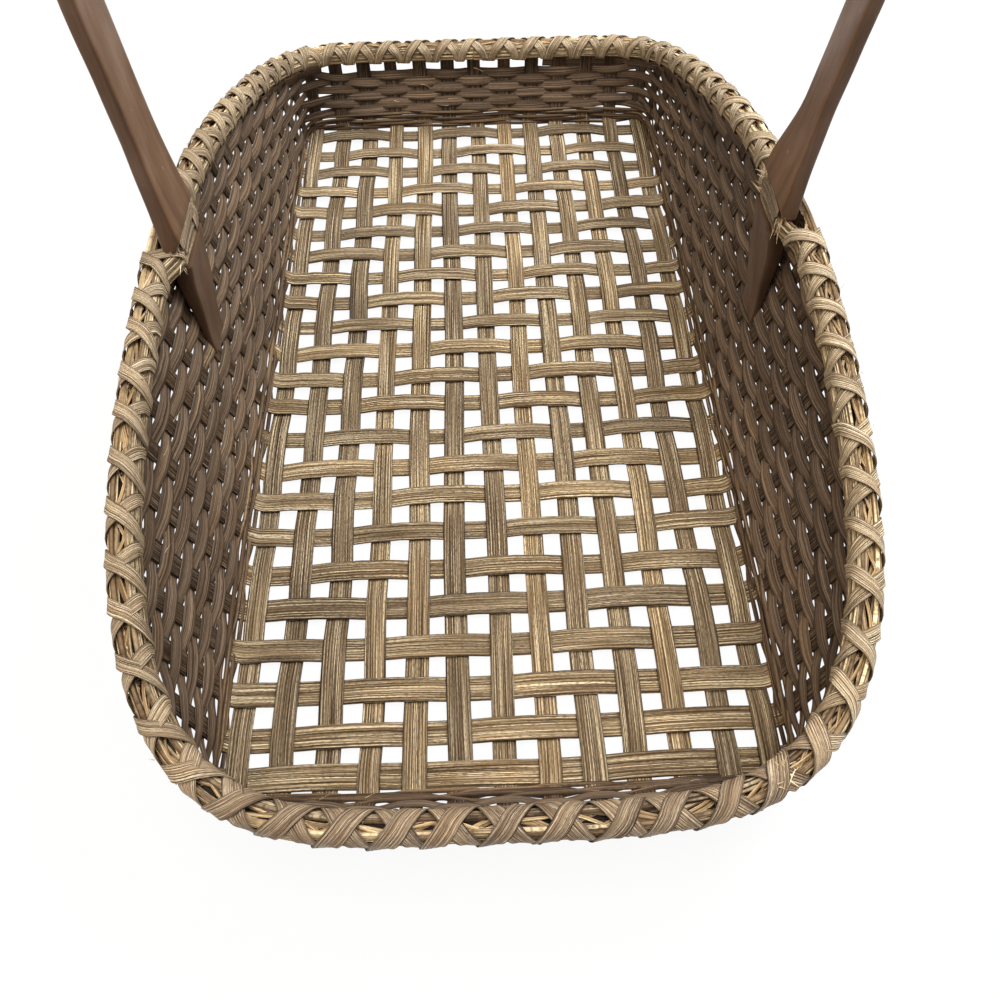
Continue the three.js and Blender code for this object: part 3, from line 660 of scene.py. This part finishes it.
def stake_wall(u):
    """Path of one stake from the base's edge up into the rim, with its inward facing."""
    share = np.linspace(0.05, 1.0, 26)
    u_all = np.full(len(share), u)
    points, facing = wall_point(u_all, share), -wall_out(u_all, share)
    top = HEADS[u % STAKES] + HIGH * STAKE_INTO_RIM
    return np.vstack([points, top]), np.vstack([facing, facing[-1]])


def make_stake(name, first, last, crossings, over, place, crown, widths):
    """A reed from one rim to the other: up the walls and over and under across the base."""
    waves = [(rng.uniform(0.1, 0.5), rng.uniform(90, 420), rng.uniform(0, 6.3)) for _ in range(3)]
    base = []

    def put(at, height):
        wander = sum(size * math.sin(2 * math.pi * at / length + phase) for size, length, phase in waves)
        base.append(place(at, wander) + HIGH * (BASE_LIFT + height))

    for k, at in enumerate(crossings):
        way = 1 if over(k) else -1
        for step in (-CROSSING_HALF_LENGTH, 0, CROSSING_HALF_LENGTH):
            put(at + step, way * (BASE_WAVE + (0 if step else 0.1)))
        if k + 1 < len(crossings) and over(k + 1) == over(k):
            put((at + crossings[k + 1]) / 2, way * BASE_WAVE + (crown if way > 0 else -0.15))
    base = np.array(base)
    start, start_facing = stake_wall(first)
    end, end_facing = stake_wall(last)
    up = np.tile(HIGH, (len(base), 1))
    points = np.vstack([start[::-1], base, end])
    facing = np.vstack([start_facing[::-1], up, end_facing])
    points, facing = follow(points, facing, REED_POINT_SPACING, REED_BEND_SOFTNESS)
    high = smooth((points[:, 2] - TURN_UP_START) / TURN_UP_HEIGHT)
    # Painted shade: the stake is drawn darker where it turns up into the wall.
    reed = strand(points, facing, girth=1 - STAKE_SLIM * high, shade=1 - WALL_PAINTED_SHADE * high)
    width = REED_WIDTH * rng.uniform(*widths)
    reeds(name, [reed], FLAT, width, REED_THICKNESS, BASE_REED, [name])


def make_lengthwise_stake(column):
    first, last = column, 2 * LENGTHWISE + CROSSWISE - 1 - column
    x0, x1 = FEET[first, 0], FEET[last, 0]
    rows = [(r - (CROSSWISE + 1) / 2) * CROSSWISE_PITCH for r in range(1, CROSSWISE + 1)]
    rows[-1] -= NEAR_REED_SHIFT

    def place(at, wander):
        return np.array([x0 + (x1 - x0) * (at + BASE_Y) / (2 * BASE_Y) + wander, -at, 0.0])

    make_stake(f"lengthwise_stake_{column + 1:02d}", first, last, rows,
               lambda k: not runs_over(k + 1, column), place, LENGTHWISE_CROWN, (0.92, 1.06))


def make_crosswise_stake(row):
    first, last = STAKES - row, LENGTHWISE + row - 1
    y0, y1 = FEET[first, 1], FEET[last, 1]
    columns = [(c - FAR_MIDDLE) * LENGTHWISE_PITCH for c in range(LENGTHWISE)]

    def place(at, wander):
        return np.array([at, y0 + (y1 - y0) * (at + BASE_X) / (2 * BASE_X) + wander, 0.0])

    make_stake(f"crosswise_stake_{row:02d}", first, last, columns,
               lambda k: runs_over(row, k), place, CROSSWISE_CROWN, (0.93, 1.08))


# Rows of the walls

def swing(u, shift):
    """In and out of the stakes, over one and under one: 1 outside, -1 inside, smooth between."""
    i = np.floor(u).astype(int)
    t = u - i
    a = np.where(np.mod(i + shift, 2) == 0, 1.0, -1.0)
    return a * (1 - 2 * smooth((t - 0.17) / 0.66))


def over_two(u, shift):
    """In front of two stakes and behind the third: -1 inside the wall, 1 outside, smooth between."""
    behind = np.abs(np.mod(u - shift + 1.5, 3) - 1.5)
    return 1 - 2 * smooth((behind - 0.1) / 0.8)


def cornering(u):
    """1 in the four corners, where the rows are looser, and 0 along the straight walls."""
    corners = np.array([LENGTHWISE, LENGTHWISE + CROSSWISE, 2 * LENGTHWISE + CROSSWISE, STAKES]) - 0.5
    away = np.min(apart(u, corners[:, None], STAKES), axis=0)
    return 1 - smooth((away - 0.5) / 2.5)


def far_wall(u):
    """1 along the far wall, 0 elsewhere."""
    return smooth((LENGTHWISE / 2 - apart(u, FAR_MIDDLE, STAKES)) / 2)


def cyclic(u, values):
    return np.interp(np.mod(u, STAKES), np.arange(STAKES + 1), np.r_[values, values[0]])


ALL_STAKES = np.arange(STAKES)
LIFT = rng.normal(0, ROW_WANDER, (20, STAKES)) * (1 + 1.6 * cornering(ALL_STAKES))


def wall_line(heights, us):
    """Points along the wall and outward directions, at a height given for each stake."""
    share = share_at(ALL_STAKES, heights)
    points = between(wall_point(ALL_STAKES, share), us)
    return points, unit(between(wall_out(ALL_STAKES, share), us))


def row_path(us, heights, shift, layer=0.0):
    """Path of a row through real-valued stake numbers us, at a height given for each stake."""
    p, n = wall_line(heights, us)
    p = p + n * (swing(us, shift) * WEAVER_SWING + layer)[:, None]
    p[:, 2] += cyclic(us, LIFT[shift % len(LIFT)])
    return p, n


def make_lock_rows():
    """Thin round rows round the base's edge, over two stakes and under one."""
    us = np.arange(0, STAKES, 1 / 9)
    for k, heights in enumerate(LOCK_HEIGHTS):
        strands = []
        for z in heights:
            p, n = wall_line(np.full(STAKES, z), us)
            shift = k + 1.5 * (z > heights[0])
            p = p + n * (over_two(us, shift) * LOCK_SWING - LOCK_INSET)[:, None]
            p[:, 2] += 0.3 * cyclic(us, LIFT[int(z)]) + 0.8 * cyclic(us, LIFT[0])
            # Painted shade on the lock rows, deepest at the lowest strand next to the base.
            strands.append(strand(p, n, closed=True, shade=0.6 + 0.02 * z))
        name = f"lock_row_{k + 1}"
        reeds(name, strands, ROUND, LOCK_DIAMETER, LOCK_DIAMETER, LOCK_REED, [name])


def row_middle(k):
    """Height of row k (1 is the lowest) above the lock rows where the wall is tall."""
    top = FIRST_ROW_PITCH * k + ROW_PITCH_GROWTH / 2 * k * (k + 1)
    return top - (FIRST_ROW_PITCH + ROW_PITCH_GROWTH * k) / 2


def make_row(name, points, facing, girth, widest):
    row = strand(points, facing, girth=girth)
    nodes = [name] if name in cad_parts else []
    width = WEAVER_WIDTH * rng.uniform(0.95, widest)
    reeds(name, [row], WEAVER_SECTION, width, WEAVER_THICKNESS, WEAVER, nodes)


def make_full_row(k):
    """A weaver that goes right round the walls and laps over its own start."""
    begin = int(rng.integers(0, STAKES))
    us = np.arange(begin, begin + STAKES + ROW_OVERLAP, ROW_STEP)
    room = HEADS[:, 2] - WALL_DROP - ROWS_START
    packed = 1 - FAR_PACKING * far_wall(ALL_STAKES)
    stretch = np.minimum(ROW_STRETCH, room / (row_middle(FULL_ROWS) + TOP_ROW_ROOM))
    lap = smooth((us - begin - STAKES + 0.3) / 0.6)
    p, n = row_path(us, ROWS_START + row_middle(k) * packed * stretch, k, layer=-LAP_INWARD * lap)
    p[:, 2] += LAP_RAISE * lap
    girth = 0.97 + 0.03 * np.cos(2 * math.pi * us) - CORNER_SLIM * cornering(us) - FAR_SLIM * far_wall(us)
    make_row(f"weaver_row_{k:02d}", p, n, girth, 1.05)


def make_short_row(side, middle, k):
    """A weaver that fills the tall part of one side wall, and flattens where it meets the rim."""
    height = ROWS_START + ROW_STRETCH * row_middle(k)
    spread = 0
    while HEADS[int(middle + spread + 1) % STAKES, 2] > height + 2 and spread < LONGEST_SHORT_ROW:
        spread += 1
    us = np.arange(middle - spread - 0.6, middle + spread + 0.6, ROW_STEP)
    heights = np.minimum(height, HEADS[:, 2] - ROW_UNDER_RIM)
    p, n = row_path(us, heights, k)
    centre = wall_line(heights, us)[0]
    calm = np.clip((cyclic(us, HEADS[:, 2]) - ROW_UNDER_RIM - height) / 6, 0.2, 1.0)
    p[:, :2] = centre[:, :2] + (p[:, :2] - centre[:, :2]) * calm[:, None]
    girth = 0.98 + 0.06 * (k - FULL_ROWS) / 8 + 0.03 * np.cos(2 * math.pi * us)
    make_row(f"{side}_short_row_{k:02d}", p, n, girth, 1.06)


# Places of the handle's arms, and the rim that passes round them

def arm_place(side):
    y = HANDLE_ALONG + side * HANDLE_SKEW
    s = np.linspace(0, RIM_LENGTH, 40000)
    plan = rim_plan(s)
    miss = np.where(np.sign(plan[:, 0]) == side, np.abs(plan[:, 1] - y), 1e9)
    here = s[np.argmin(miss)]
    return {"side": side, "y": y, "s": here, "rim": rim_frame(here)[0][0]}


ARMS = [arm_place(-1), arm_place(1)]


def arm_distance(s):
    return np.minimum(*(apart(s, arm["s"], RIM_LENGTH) for arm in ARMS))


def hoop_step(s):
    """How far the inner hoop steps inwards to pass round the handle's arms."""
    flat = HANDLE_WIDTH / 2 + ARM_CLEARANCE
    step = ARM_OUTER + HANDLE_THICKNESS - NOTCH_DEPTH + 0.5 - HOOP_INNER
    return step * (1 - smooth((arm_distance(s) - flat) / HOOP_RAMP))


# Hoops, filler and lashing of the rim

def on_sides(points):
    """1 on the long sides of the rim, 0 on its ends."""
    return smooth((np.abs(points[:, 0]) - SIDES_START) / SIDES_BLEND)


def at_far_end(points):
    return smooth((points[:, 1] - FAR_END_START) / FAR_END_BLEND)


def rim_painted_light(points):
    """Painted light: the sides of the rim are drawn paler than its near end, the right side most, and so is
    the far end.
    """
    side = on_sides(points) * (SIDE_PAINTED_LIGHT + RIGHT_SIDE_PAINTED_LIGHT * np.sign(points[:, 0]))
    return 1.0 + np.maximum(side, FAR_END_PAINTED_LIGHT * at_far_end(points))


def make_hoops():
    s = np.arange(0, RIM_LENGTH, 3.0)
    points, _, out = rim_frame(s)
    middle = HOOP_INNER + HOOP_THICKNESS / 2
    wobble = 0.3 * np.sin(s / 31.0) + 0.2 * np.sin(s / 17.0 + 1.3)
    for name, way in (("outer_rim_hoop", 1), ("inner_rim_hoop", -1)):
        offset = way * middle - (hoop_step(s) if way < 0 else 0) + 0.25 * np.sin(s / 23.0 + way)
        p = points + out * offset[:, None] + HIGH * (wobble * way - 0.3)[:, None]
        hoop = strand(p, out + 0.25 * way * HIGH, closed=True, shade=rim_painted_light(p))
        reeds(name, [hoop], HOOP_SECTION, HOOP_HEIGHT, HOOP_THICKNESS, HOOP, [name])


def make_filler():
    """Four loose splints that wander in the groove between the hoops, over a near-black strip of painted
    shade.
    """
    s = np.arange(0, RIM_LENGTH, 2.0)
    points, _, out = rim_frame(s)
    by_arm = 1 - smooth((arm_distance(s) - HANDLE_WIDTH / 2 - ARM_CLEARANCE) / 8)
    wave = 2 * math.pi * s / RIM_LENGTH
    strands = []
    for k in range(4):
        turns = rng.integers(34, 46)
        phase = rng.uniform(0, 2 * math.pi, 4)
        wander = 1.3 * np.sin(11 * wave + phase[1]) + 0.8 * np.sin(29 * wave + phase[2])
        zigzag = 2 / math.pi * np.arcsin(np.sin(turns * wave + phase[0] + wander))
        side = 2.5 * zigzag * (1 - by_arm) + 1.4 * by_arm
        level = 1.8 + 0.6 * k + 0.35 * np.sin(19 * wave + phase[3]) - 2.0 * by_arm
        girth = rng.uniform(0.75, 1.2) * (1 - 0.4 * by_arm)
        p = points + out * side[:, None] + HIGH * level[:, None]
        strands.append(strand(p, HIGH + 0.1 * out, girth=girth, closed=True))
    reeds("rim_filler", strands, FLAT, SPLINT_WIDTH, SPLINT_THICKNESS, FILLER, ["rim_filler"])
    # Painted shade: a near-black strip at the bottom of the groove, under the splints.
    p = points + out * by_arm[:, None] - HIGH * (0.4 + 1.2 * by_arm)[:, None]
    shade_band = strand(p, HIGH, girth=1 - 0.5 * by_arm, closed=True)
    reeds("rim_core", [shade_band], FLAT, RIM_SHADE_STRIP_WIDTH, RIM_SHADE_STRIP_THICKNESS, RIM_SHADE_STRIP)


def gap_distance(u):
    whole = np.concatenate([HEAD_S - RIM_LENGTH, HEAD_S, HEAD_S + RIM_LENGTH])
    return np.interp(u, np.arange(-STAKES, 2 * STAKES), whole)


def free_gaps(begin, clear):
    """Gaps between stakes on one half of the rim that are this clear of the handle's arms."""
    gaps = [begin + k + 0.5 for k in range(-1, STAKES // 2 + 1)]
    return [gap for gap in gaps if arm_distance(gap_distance(gap + 0.5)) > HANDLE_WIDTH / 2 + clear]


def lashing_path(gaps, direction, layer):
    """One long wrap: round the bundle once for each gap between stakes, leaning one way."""
    whole, normals = [], []
    for gap in gaps:
        t = np.arange(WRAP_STEPS) / WRAP_STEPS
        a = 2 * math.pi * t
        advance = t - WRAP_PULL * np.sin(a)
        tighten = rng.normal(0, 0.05) * np.sin(math.pi * t)
        s = gap_distance((gap + advance if direction > 0 else gap + 1 - advance) + tighten)
        points, _, out = rim_frame(s)
        side, high = -np.sin(a), -np.cos(a)
        below = smooth(-2.5 * high)
        # A little squarer than a circle, and squarer still under the hoops
        side, high = (np.sign(v) * np.abs(v) ** (0.84 - 0.32 * below) for v in (side, high))
        # Where two wraps cross, the upper one is lifted
        on_top = 0.75 * np.clip(high, 0, 1) ** 2 * np.exp(-(side / 0.62) ** 2)
        reach = HOOP_INNER + HOOP_THICKNESS + WRAP_CLEAR_SIDE + WRAP_LAYER * layer + WRAP_SLACK_SIDE * below
        tall = HOOP_HEIGHT / 2 + WRAP_CLEAR_TOP + WRAP_LAYER * layer + WRAP_SLACK_UNDER * below
        inward = np.where(side < 0, hoop_step(s) * np.abs(side) ** 0.5, 0)
        p = points + out * (side * reach - inward)[:, None]
        p[:, 2] += high * tall + on_top * layer
        n = out * (-np.sin(a) * tall / reach)[:, None]
        n[:, 2] -= np.cos(a)
        whole.append(p)
        normals.append(unit(n))
    return np.vstack(whole), np.vstack(normals)


def make_lashings():
    """On each half of the rim two reeds that lean opposite ways, one crossing on top of the other."""
    for end, begin in (("near", RIGHT_MIDDLE), ("far", LEFT_MIDDLE)):
        for lean, direction, layer in (("leaning_left", 1, 1), ("leaning_right", -1, 0)):
            clear = TOP_WRAP_CLEARANCE if layer else ARM_CLEARANCE
            gaps = free_gaps(begin, clear)[::direction]
            p, n = lashing_path(gaps, direction, layer)
            at = np.arange(len(p))
            girth = 1 + 0.06 * np.sin(at / 47) + 0.04 * np.sin(at / 19)
            girth = girth * (1 - SIDE_WRAP_SLIM * on_sides(p)) * (1 - SIDE_WRAP_SLIM * at_far_end(p))
            wrap = strand(p, n, girth=girth, tone=0.55, shade=rim_painted_light(p))
            name = f"{end}_lashing_{lean}"
            reeds(name, [wrap], RIBBED, LASHING_WIDTH, LASHING_THICKNESS, LASHING, [name])


# Handle

def board_loop(centre, across, width, thickness, chamfer, twist=0.0):
    """A board's section with softly rounded corners, its far edge turned outwards by the twist."""
    c = min(chamfer, 0.3 * width, 0.42 * thickness)
    w, t = width / 2, thickness / 2
    quarter = [(t, w - c - 1.6), (t, w - c), (t - 0.13 * c, w - 0.5 * c),
               (t - 0.5 * c, w - 0.13 * c), (t - c, w)]
    corners = quarter + [(-a, b) for a, b in quarter[::-1]]
    corners += [(-a, -b) for a, b in quarter] + [(a, -b) for a, b in quarter[::-1]]
    loop = [np.asarray(centre) + np.asarray(across) * (a + twist * (b + w)) + np.array([0, 1.0, 0]) * b
            for a, b in corners]
    return loop, [b + 0.9 * a for a, b in corners]


def arm_loops(arm):
    """Sections of one arm, from the end of its leg up to where the arch starts."""
    side, y = arm["side"], arm["y"]
    face = abs(arm["rim"][0]) - ARM_OUTER
    u = np.array([RIGHT_MIDDLE if side > 0 else LEFT_MIDDLE])
    notch_bottom = float(rim_height(abs(y) + HANDLE_WIDTH / 2)) - NOTCH_REACH
    notch_top = RIM_AT_SIDES + NOTCH_REACH
    loops, shades = [], []

    def wall_inside(z):
        share = share_at(u, np.array([z]))
        p, n = wall_point(u, share)[0], wall_out(u, share)[0]
        return min(face, abs(p[0]) - (ARM_OUTER - 1.2) / abs(n[0]))

    def add(z, outer, thickness, width, chamfer=HANDLE_CHAMFER, shade=1.0, twist=0.0):
        drop = min(0.0, z - notch_bottom)
        centre = (side * (outer - thickness / 2), y + HANDLE_LEAN * (z - notch_top) + 0.2 * drop, z)
        loops.append(board_loop(centre, (side, 0, 0), width, thickness, chamfer, twist))
        shades.append(shade)

    # The leg, inside the wall below the rim, gets painted shade.
    for part in np.linspace(0, 1, 12):
        z = notch_bottom - HANDLE_LEG * (1 - part)
        width = HANDLE_WIDTH + LEG_WIDENING - LEG_NARROWING * (1 - part) ** 1.6
        thickness = LEG_TIP_THICKNESS + (LEG_THICKNESS - LEG_TIP_THICKNESS) * part
        tuck = LEG_TUCK * (1 - smooth(part / 0.7))
        add(z, wall_inside(z) + tuck, thickness, width, 1.4, LEG_PAINTED_SHADE)
    # Where the arm passes through the rim its two sections get painted shade.
    slim = HANDLE_THICKNESS - NOTCH_DEPTH
    add(notch_bottom + 0.3, face, slim, HANDLE_WIDTH, 1.0, 0.5)
    add(notch_top - 0.3, face, slim, HANDLE_WIDTH, 1.0, 0.5)
    rise = HANDLE_ARCH_START - notch_top
    for part in np.linspace(0, 0.98, 24):
        spread = ARM_SPREAD[side] * part ** 1.3
        thickness = HANDLE_THICKNESS_TOP + (RIM_THICKENING if part else 0.0) * math.exp(-part / 0.2)
        flare = HANDLE_FLARE * math.exp(-part / 0.25) - HANDLE_TAPER * min(1.0, part / 0.45)
        carve = 0.25 * math.sin(9 * part + side) + 0.15 * math.sin(23 * part)
        # The lowest section, just above the rim, gets a little painted shade.
        add(notch_top + rise * part, face + spread + 0.3 * carve, thickness,
            HANDLE_WIDTH + flare + carve, shade=1.0 if part else 0.93,
            twist=ARM_TWIST[side] * smooth((part - 0.1) / 0.3))
    return loops, shades


def arch_loops():
    """Sections of the arch above the arms, half an ellipse from the left arm to the right."""
    left, right = ARMS
    face = (abs(left["rim"][0]) + abs(right["rim"][0])) / 2
    span = face - ARM_OUTER + (ARM_SPREAD[-1] + ARM_SPREAD[1]) / 2 - HANDLE_THICKNESS_TOP / 2
    shift = (ARM_SPREAD[1] - ARM_SPREAD[-1] + right["rim"][0] + left["rim"][0]) / 2
    rise = HANDLE_TOP - HANDLE_THICKNESS_TOP / 2 - HANDLE_ARCH_START
    arch, steps = [], 60
    for k in range(steps + 1):
        a = math.pi * (1 - k / steps)
        x, z = span * math.cos(a) + shift, HANDLE_ARCH_START + rise * math.sin(a)
        n = unit(np.array([math.cos(a) / span, 0, math.sin(a) / rise]))
        y = HANDLE_ALONG + HANDLE_SKEW * math.cos(a) + HANDLE_LEAN * (z - RIM_AT_SIDES - NOTCH_REACH)
        half = 2 * k / steps - 1
        twist = ARM_TWIST[1] * smooth(half) + ARM_TWIST[-1] * smooth(-half)
        width = HANDLE_WIDTH - HANDLE_TAPER
        arch.append(board_loop((x, y, z), n, width, HANDLE_THICKNESS_TOP, HANDLE_CHAMFER, twist))
    return arch


def skin(count, sides):
    """Faces of a tube of that many rings, each with that many sides, closed at both ends."""
    faces = []
    for k in range(count - 1):
        for j in range(sides):
            i = (j + 1) % sides
            faces.append((k * sides + j, k * sides + i, (k + 1) * sides + i, (k + 1) * sides + j))
    faces.append(tuple(range(sides))[::-1])
    faces.append(tuple(range((count - 1) * sides, count * sides)))
    return faces


def make_handle():
    """One board, bent from leg to leg, with painted shade on its near side, its legs and where it passes
    through the rim.
    """
    (left, left_shades), (right, right_shades) = (arm_loops(arm) for arm in ARMS)
    arch = arch_loops()
    loops = left + arch + right[::-1]
    shades = left_shades + [1.0] * len(arch) + right_shades[::-1]
    rings = np.array([loop for loop, _ in loops])
    count, sides = rings.shape[:2]
    mesh = bpy.data.meshes.new("handle")
    mesh.from_pydata((rings.reshape(-1, 3) * MM).tolist(), [], skin(count, sides))
    # Painted shade on the board's near side.
    near_edge = rings[:, :, 1].min(axis=1, keepdims=True) + 0.8
    near_side_painted_shade = 1 - NEAR_SIDE_PAINTED_SHADE * (rings[:, :, 1] < near_edge)
    store(mesh, "along", np.repeat(lengths_along(rings.mean(axis=1)), sides))
    store(mesh, "across", np.array([across for _, across in loops]).ravel())
    store(mesh, "shade", np.repeat(shades, sides) * near_side_painted_shade.ravel())
    mesh.materials.append(HANDLE_WOOD)
    outward = bmesh.new()
    outward.from_mesh(mesh)
    bmesh.ops.recalc_face_normals(outward, faces=outward.faces)
    outward.to_mesh(mesh)
    outward.free()
    mesh.shade_smooth()
    mesh.set_sharp_from_angle(angle=math.radians(50))
    piece = bpy.data.objects.new("handle", mesh)
    bpy.context.collection.objects.link(piece)
    attach(piece, ["handle"])


# Broken wraps in front of the arms, frayed ends and loose fibres

def sliver(start, way, length, bend, facing, thick=1.0):
    t = np.linspace(0, 1, 7)
    p = start + length * (t[:, None] * way + (t ** 2)[:, None] * bend)
    return strand(p, facing, girth=(1 - t) * thick + 0.05)


def make_broken_wraps(arm, name, inner):
    """Three torn strips that lie along the inner hoop in front of one arm."""
    side = arm["side"]
    strips = []
    for y0, z0, y1, z1, off, width in ((-15, 4.5, 15, 3.5, 0.5, 0.8), (-14, 0.5, 17, -1, 0.6, 0.75),
                                       (-18, -3, 12, -4, 0.5, 0.6)):
        t = np.linspace(0, 1, 30)
        x = side * (inner - off - 0.8 * np.maximum(0, 2 * np.abs(t - 0.5)) ** 6)
        y = arm["y"] + y0 + (y1 - y0) * t
        z = arm["rim"][2] + z0 + (z1 - z0) * t + 0.5 * np.sin(6 * t + y0)
        ends = np.clip(np.minimum(t, 1 - t) / 0.06, 0.25, 1)
        strips.append(strand(np.column_stack([x, y, z]), (side * -1.0, 0, 0.3), girth=width * ends))
    reeds(f"{name}_broken_wraps", strips, FLAT, 5.0, 0.7, LASHING)


def make_splinters(arm, name, inner):
    """Tufts of splinters at both ends of the broken wraps."""
    side = arm["side"]
    slivers = []
    for k in range(SPLINTERS_PER_ARM):
        end = -1 if k % 3 else 1
        outwards, aside, up = rng.uniform((-0.6, 12, -5), (4.5, 19, 6))
        start = np.array([side * (inner + outwards), arm["y"] + end * aside, arm["rim"][2] + up])
        way = unit(rng.uniform((-0.1, 0.3, -0.3), (0.5, 1, 0.8)) * (-side, end, 1))
        slivers.append(sliver(start, way, rng.uniform(2, 7.5), rng.normal(0, 0.2, 3),
                              (side * -1.0, 0.2, 0.3), rng.uniform(0.5, 1.3)))
    reeds(f"{name}_splinters", slivers, FLAT, 1.5, 0.5, SPLINTER)


def rim_fibre():
    """A fine loose fibre somewhere on the rim."""
    points, along, out = rim_frame(rng.uniform(0, RIM_LENGTH))
    start = points[0] + out[0] * rng.uniform(-7, 7) + HIGH * rng.uniform(2, 5.5)
    way = unit(along[0] * rng.normal(0, 1) + out[0] * rng.normal(0, 0.6) + HIGH * rng.uniform(0, 0.6))
    return sliver(start, way, rng.uniform(1.5, 6), rng.normal(0, 0.2, 3), out[0])


def corner_fibre(corner):
    """A thicker fibre of the tuft at the broken corner of the rim."""
    points, along, out = rim_frame(corner + rng.uniform(-6, 6))
    start = points[0] + out[0] * rng.uniform(-4, 3) + HIGH * rng.uniform(4.5, 5.5)
    way = unit(along[0] * rng.normal(0, 1) + out[0] * rng.normal(0, 0.8) + HIGH * rng.uniform(0, 0.5))
    return sliver(start, way, rng.uniform(2.5, 6), rng.normal(0, 0.3, 3), out[0], rng.uniform(1.6, 3.2))


def wall_fibre():
    """A fibre that stands off the inside of a wall."""
    u, share = np.array([rng.integers(0, STAKES)]), np.array([rng.uniform(0.15, 0.95)])
    p, n = wall_point(u, share)[0], wall_out(u, share)[0]
    way = unit(np.cross(n, HIGH) * rng.choice((-1, 1)) - 0.35 * n + HIGH * rng.normal(0, 0.3))
    return sliver(p - 2.6 * n, way, rng.uniform(3, 11), rng.normal(0, 0.25, 3), n, 0.6)


def make_loose_fibres():
    round_rim = np.linspace(0, RIM_LENGTH, 4000)
    corner = round_rim[np.argmin(np.linalg.norm(rim_plan(round_rim) - BROKEN_CORNER, axis=1))]
    loose = [rim_fibre() for _ in range(RIM_FIBRES)]
    loose += [corner_fibre(corner) for _ in range(CORNER_FIBRES)]
    loose += [wall_fibre() for _ in range(WALL_FIBRES)]
    reeds("loose_fibres", loose, ROUND, 0.7, 0.4, SPLINTER)


for column in range(LENGTHWISE):
    make_lengthwise_stake(column)
for row in range(1, CROSSWISE + 1):
    make_crosswise_stake(row)
make_lock_rows()
for k in range(1, FULL_ROWS + 1):
    make_full_row(k)
for side, middle in (("right", RIGHT_MIDDLE), ("left", LEFT_MIDDLE)):
    for k in range(FULL_ROWS + 1, SIDE_ROWS + 1):
        make_short_row(side, middle, k)
make_hoops()
make_filler()
make_lashings()
make_handle()
for arm, name in zip(ARMS, ("left", "right")):
    inner = abs(arm["rim"][0]) - hoop_step(np.array([arm["s"]]))[0] - HOOP_INNER - HOOP_THICKNESS
    make_broken_wraps(arm, name, inner)
    make_splinters(arm, name, inner)
make_loose_fibres()
for helper in (FLAT, WEAVER_SECTION, RIBBED, HOOP_SECTION, ROUND):
    bpy.data.objects.remove(helper)


# Floor, light and camera

def make_floor():
    """A white floor that takes the object's shadow."""
    mesh = bpy.data.meshes.new("floor")
    half = 3.0
    corners = [(-half, -half, 0), (half, -half, 0), (half, half, 0), (-half, half, 0)]
    mesh.from_pydata(corners, [], [(0, 1, 2, 3)])
    floor = bpy.data.objects.new("floor", mesh)
    bpy.context.collection.objects.link(floor)
    f = Finish("white floor")
    path = f.node("ShaderNodeLightPath")
    seen = f.math("MAXIMUM", path.outputs["Is Camera Ray"], path.outputs["Is Glossy Ray"])
    seen = f.math("MAXIMUM", seen, path.outputs["Is Transmission Ray"])
    glowing = f.times(seen, 0.93)
    f.give("Base Color", (0.8, 0.8, 0.8, 1))
    f.give("Roughness", 0.9)
    f.give("Specular IOR Level", 0.0)
    glow = f.node("ShaderNodeEmission", {"Color": (1, 1, 1, 1), "Strength": 1.0})
    blend = f.node("ShaderNodeMixShader", {0: glowing, 1: f.surface.outputs[0], 2: glow.outputs[0]})
    f.tree.links.new(blend.outputs[0], f.tree.nodes["Material Output"].inputs["Surface"])
    mesh.materials.append(f.material)


def make_room_light():
    """Even light from all round, and a pale backdrop for the camera."""
    world = bpy.data.worlds.new("soft room")
    bpy.context.scene.world = world
    world.use_nodes = True
    tree = world.node_tree
    sky = tree.nodes["Background"]
    sky.inputs["Color"].default_value = (1.0, 0.985, 0.97, 1)
    sky.inputs["Strength"].default_value = 0.385
    backdrop = add_node(tree, "ShaderNodeBackground", {"Strength": 1.0})
    seen = add_node(tree, "ShaderNodeLightPath").outputs["Is Camera Ray"]
    blend = add_node(tree, "ShaderNodeMixShader", {0: seen, 1: sky.outputs[0], 2: backdrop.outputs[0]})
    tree.links.new(blend.outputs[0], tree.nodes["World Output"].inputs["Surface"])


def make_lamp(name, place, aim, size, power, colour):
    lamp = bpy.data.lights.new(name, "AREA")
    lamp.shape = "DISK"
    lamp.size = size
    lamp.energy = power
    lamp.color = colour
    holder = bpy.data.objects.new(name, lamp)
    bpy.context.collection.objects.link(holder)
    holder.location = place
    holder.rotation_euler = (Vector(aim) - Vector(place)).to_track_quat("-Z", "Y").to_euler()


def make_camera():
    yaw, pitch, roll = CAMERA_YAW, CAMERA_PITCH, CAMERA_ROLL
    level = Vector((math.cos(yaw), math.sin(yaw), 0))
    ahead = Vector((-math.sin(yaw), math.cos(yaw), 0))
    forward = ahead * math.cos(pitch) - Vector((0, 0, math.sin(pitch)))
    above = level.cross(forward)
    right = math.cos(roll) * level + math.sin(roll) * above
    up = -math.sin(roll) * level + math.cos(roll) * above
    lens = bpy.data.cameras.new("camera")
    lens.sensor_width = FILM_WIDTH
    lens.lens = LENS_LENGTH
    lens.clip_start = 0.01
    camera = bpy.data.objects.new("camera", lens)
    bpy.context.collection.objects.link(camera)
    turn = Matrix((right, up, -forward)).transposed().to_4x4()
    camera.matrix_world = Matrix.Translation(Vector(CAMERA_PLACE) * MM) @ turn
    bpy.context.scene.camera = camera


make_floor()
make_room_light()
make_lamp("window", (0.75, 0.70, 1.15), (0, 0, 0.03), 0.7, 21.6, (0.96, 0.98, 1.0))
make_lamp("ceiling", (0.05, -0.05, 1.6), (0, 0, 0), 0.8, 20.2, (1.0, 0.98, 0.95))
make_lamp("room", (-0.9, -0.4, 0.8), (0, 0, 0.05), 0.8, 4.0, (1.0, 0.80, 0.58))
make_camera()
bpy.context.scene.view_settings.view_transform = "Standard"
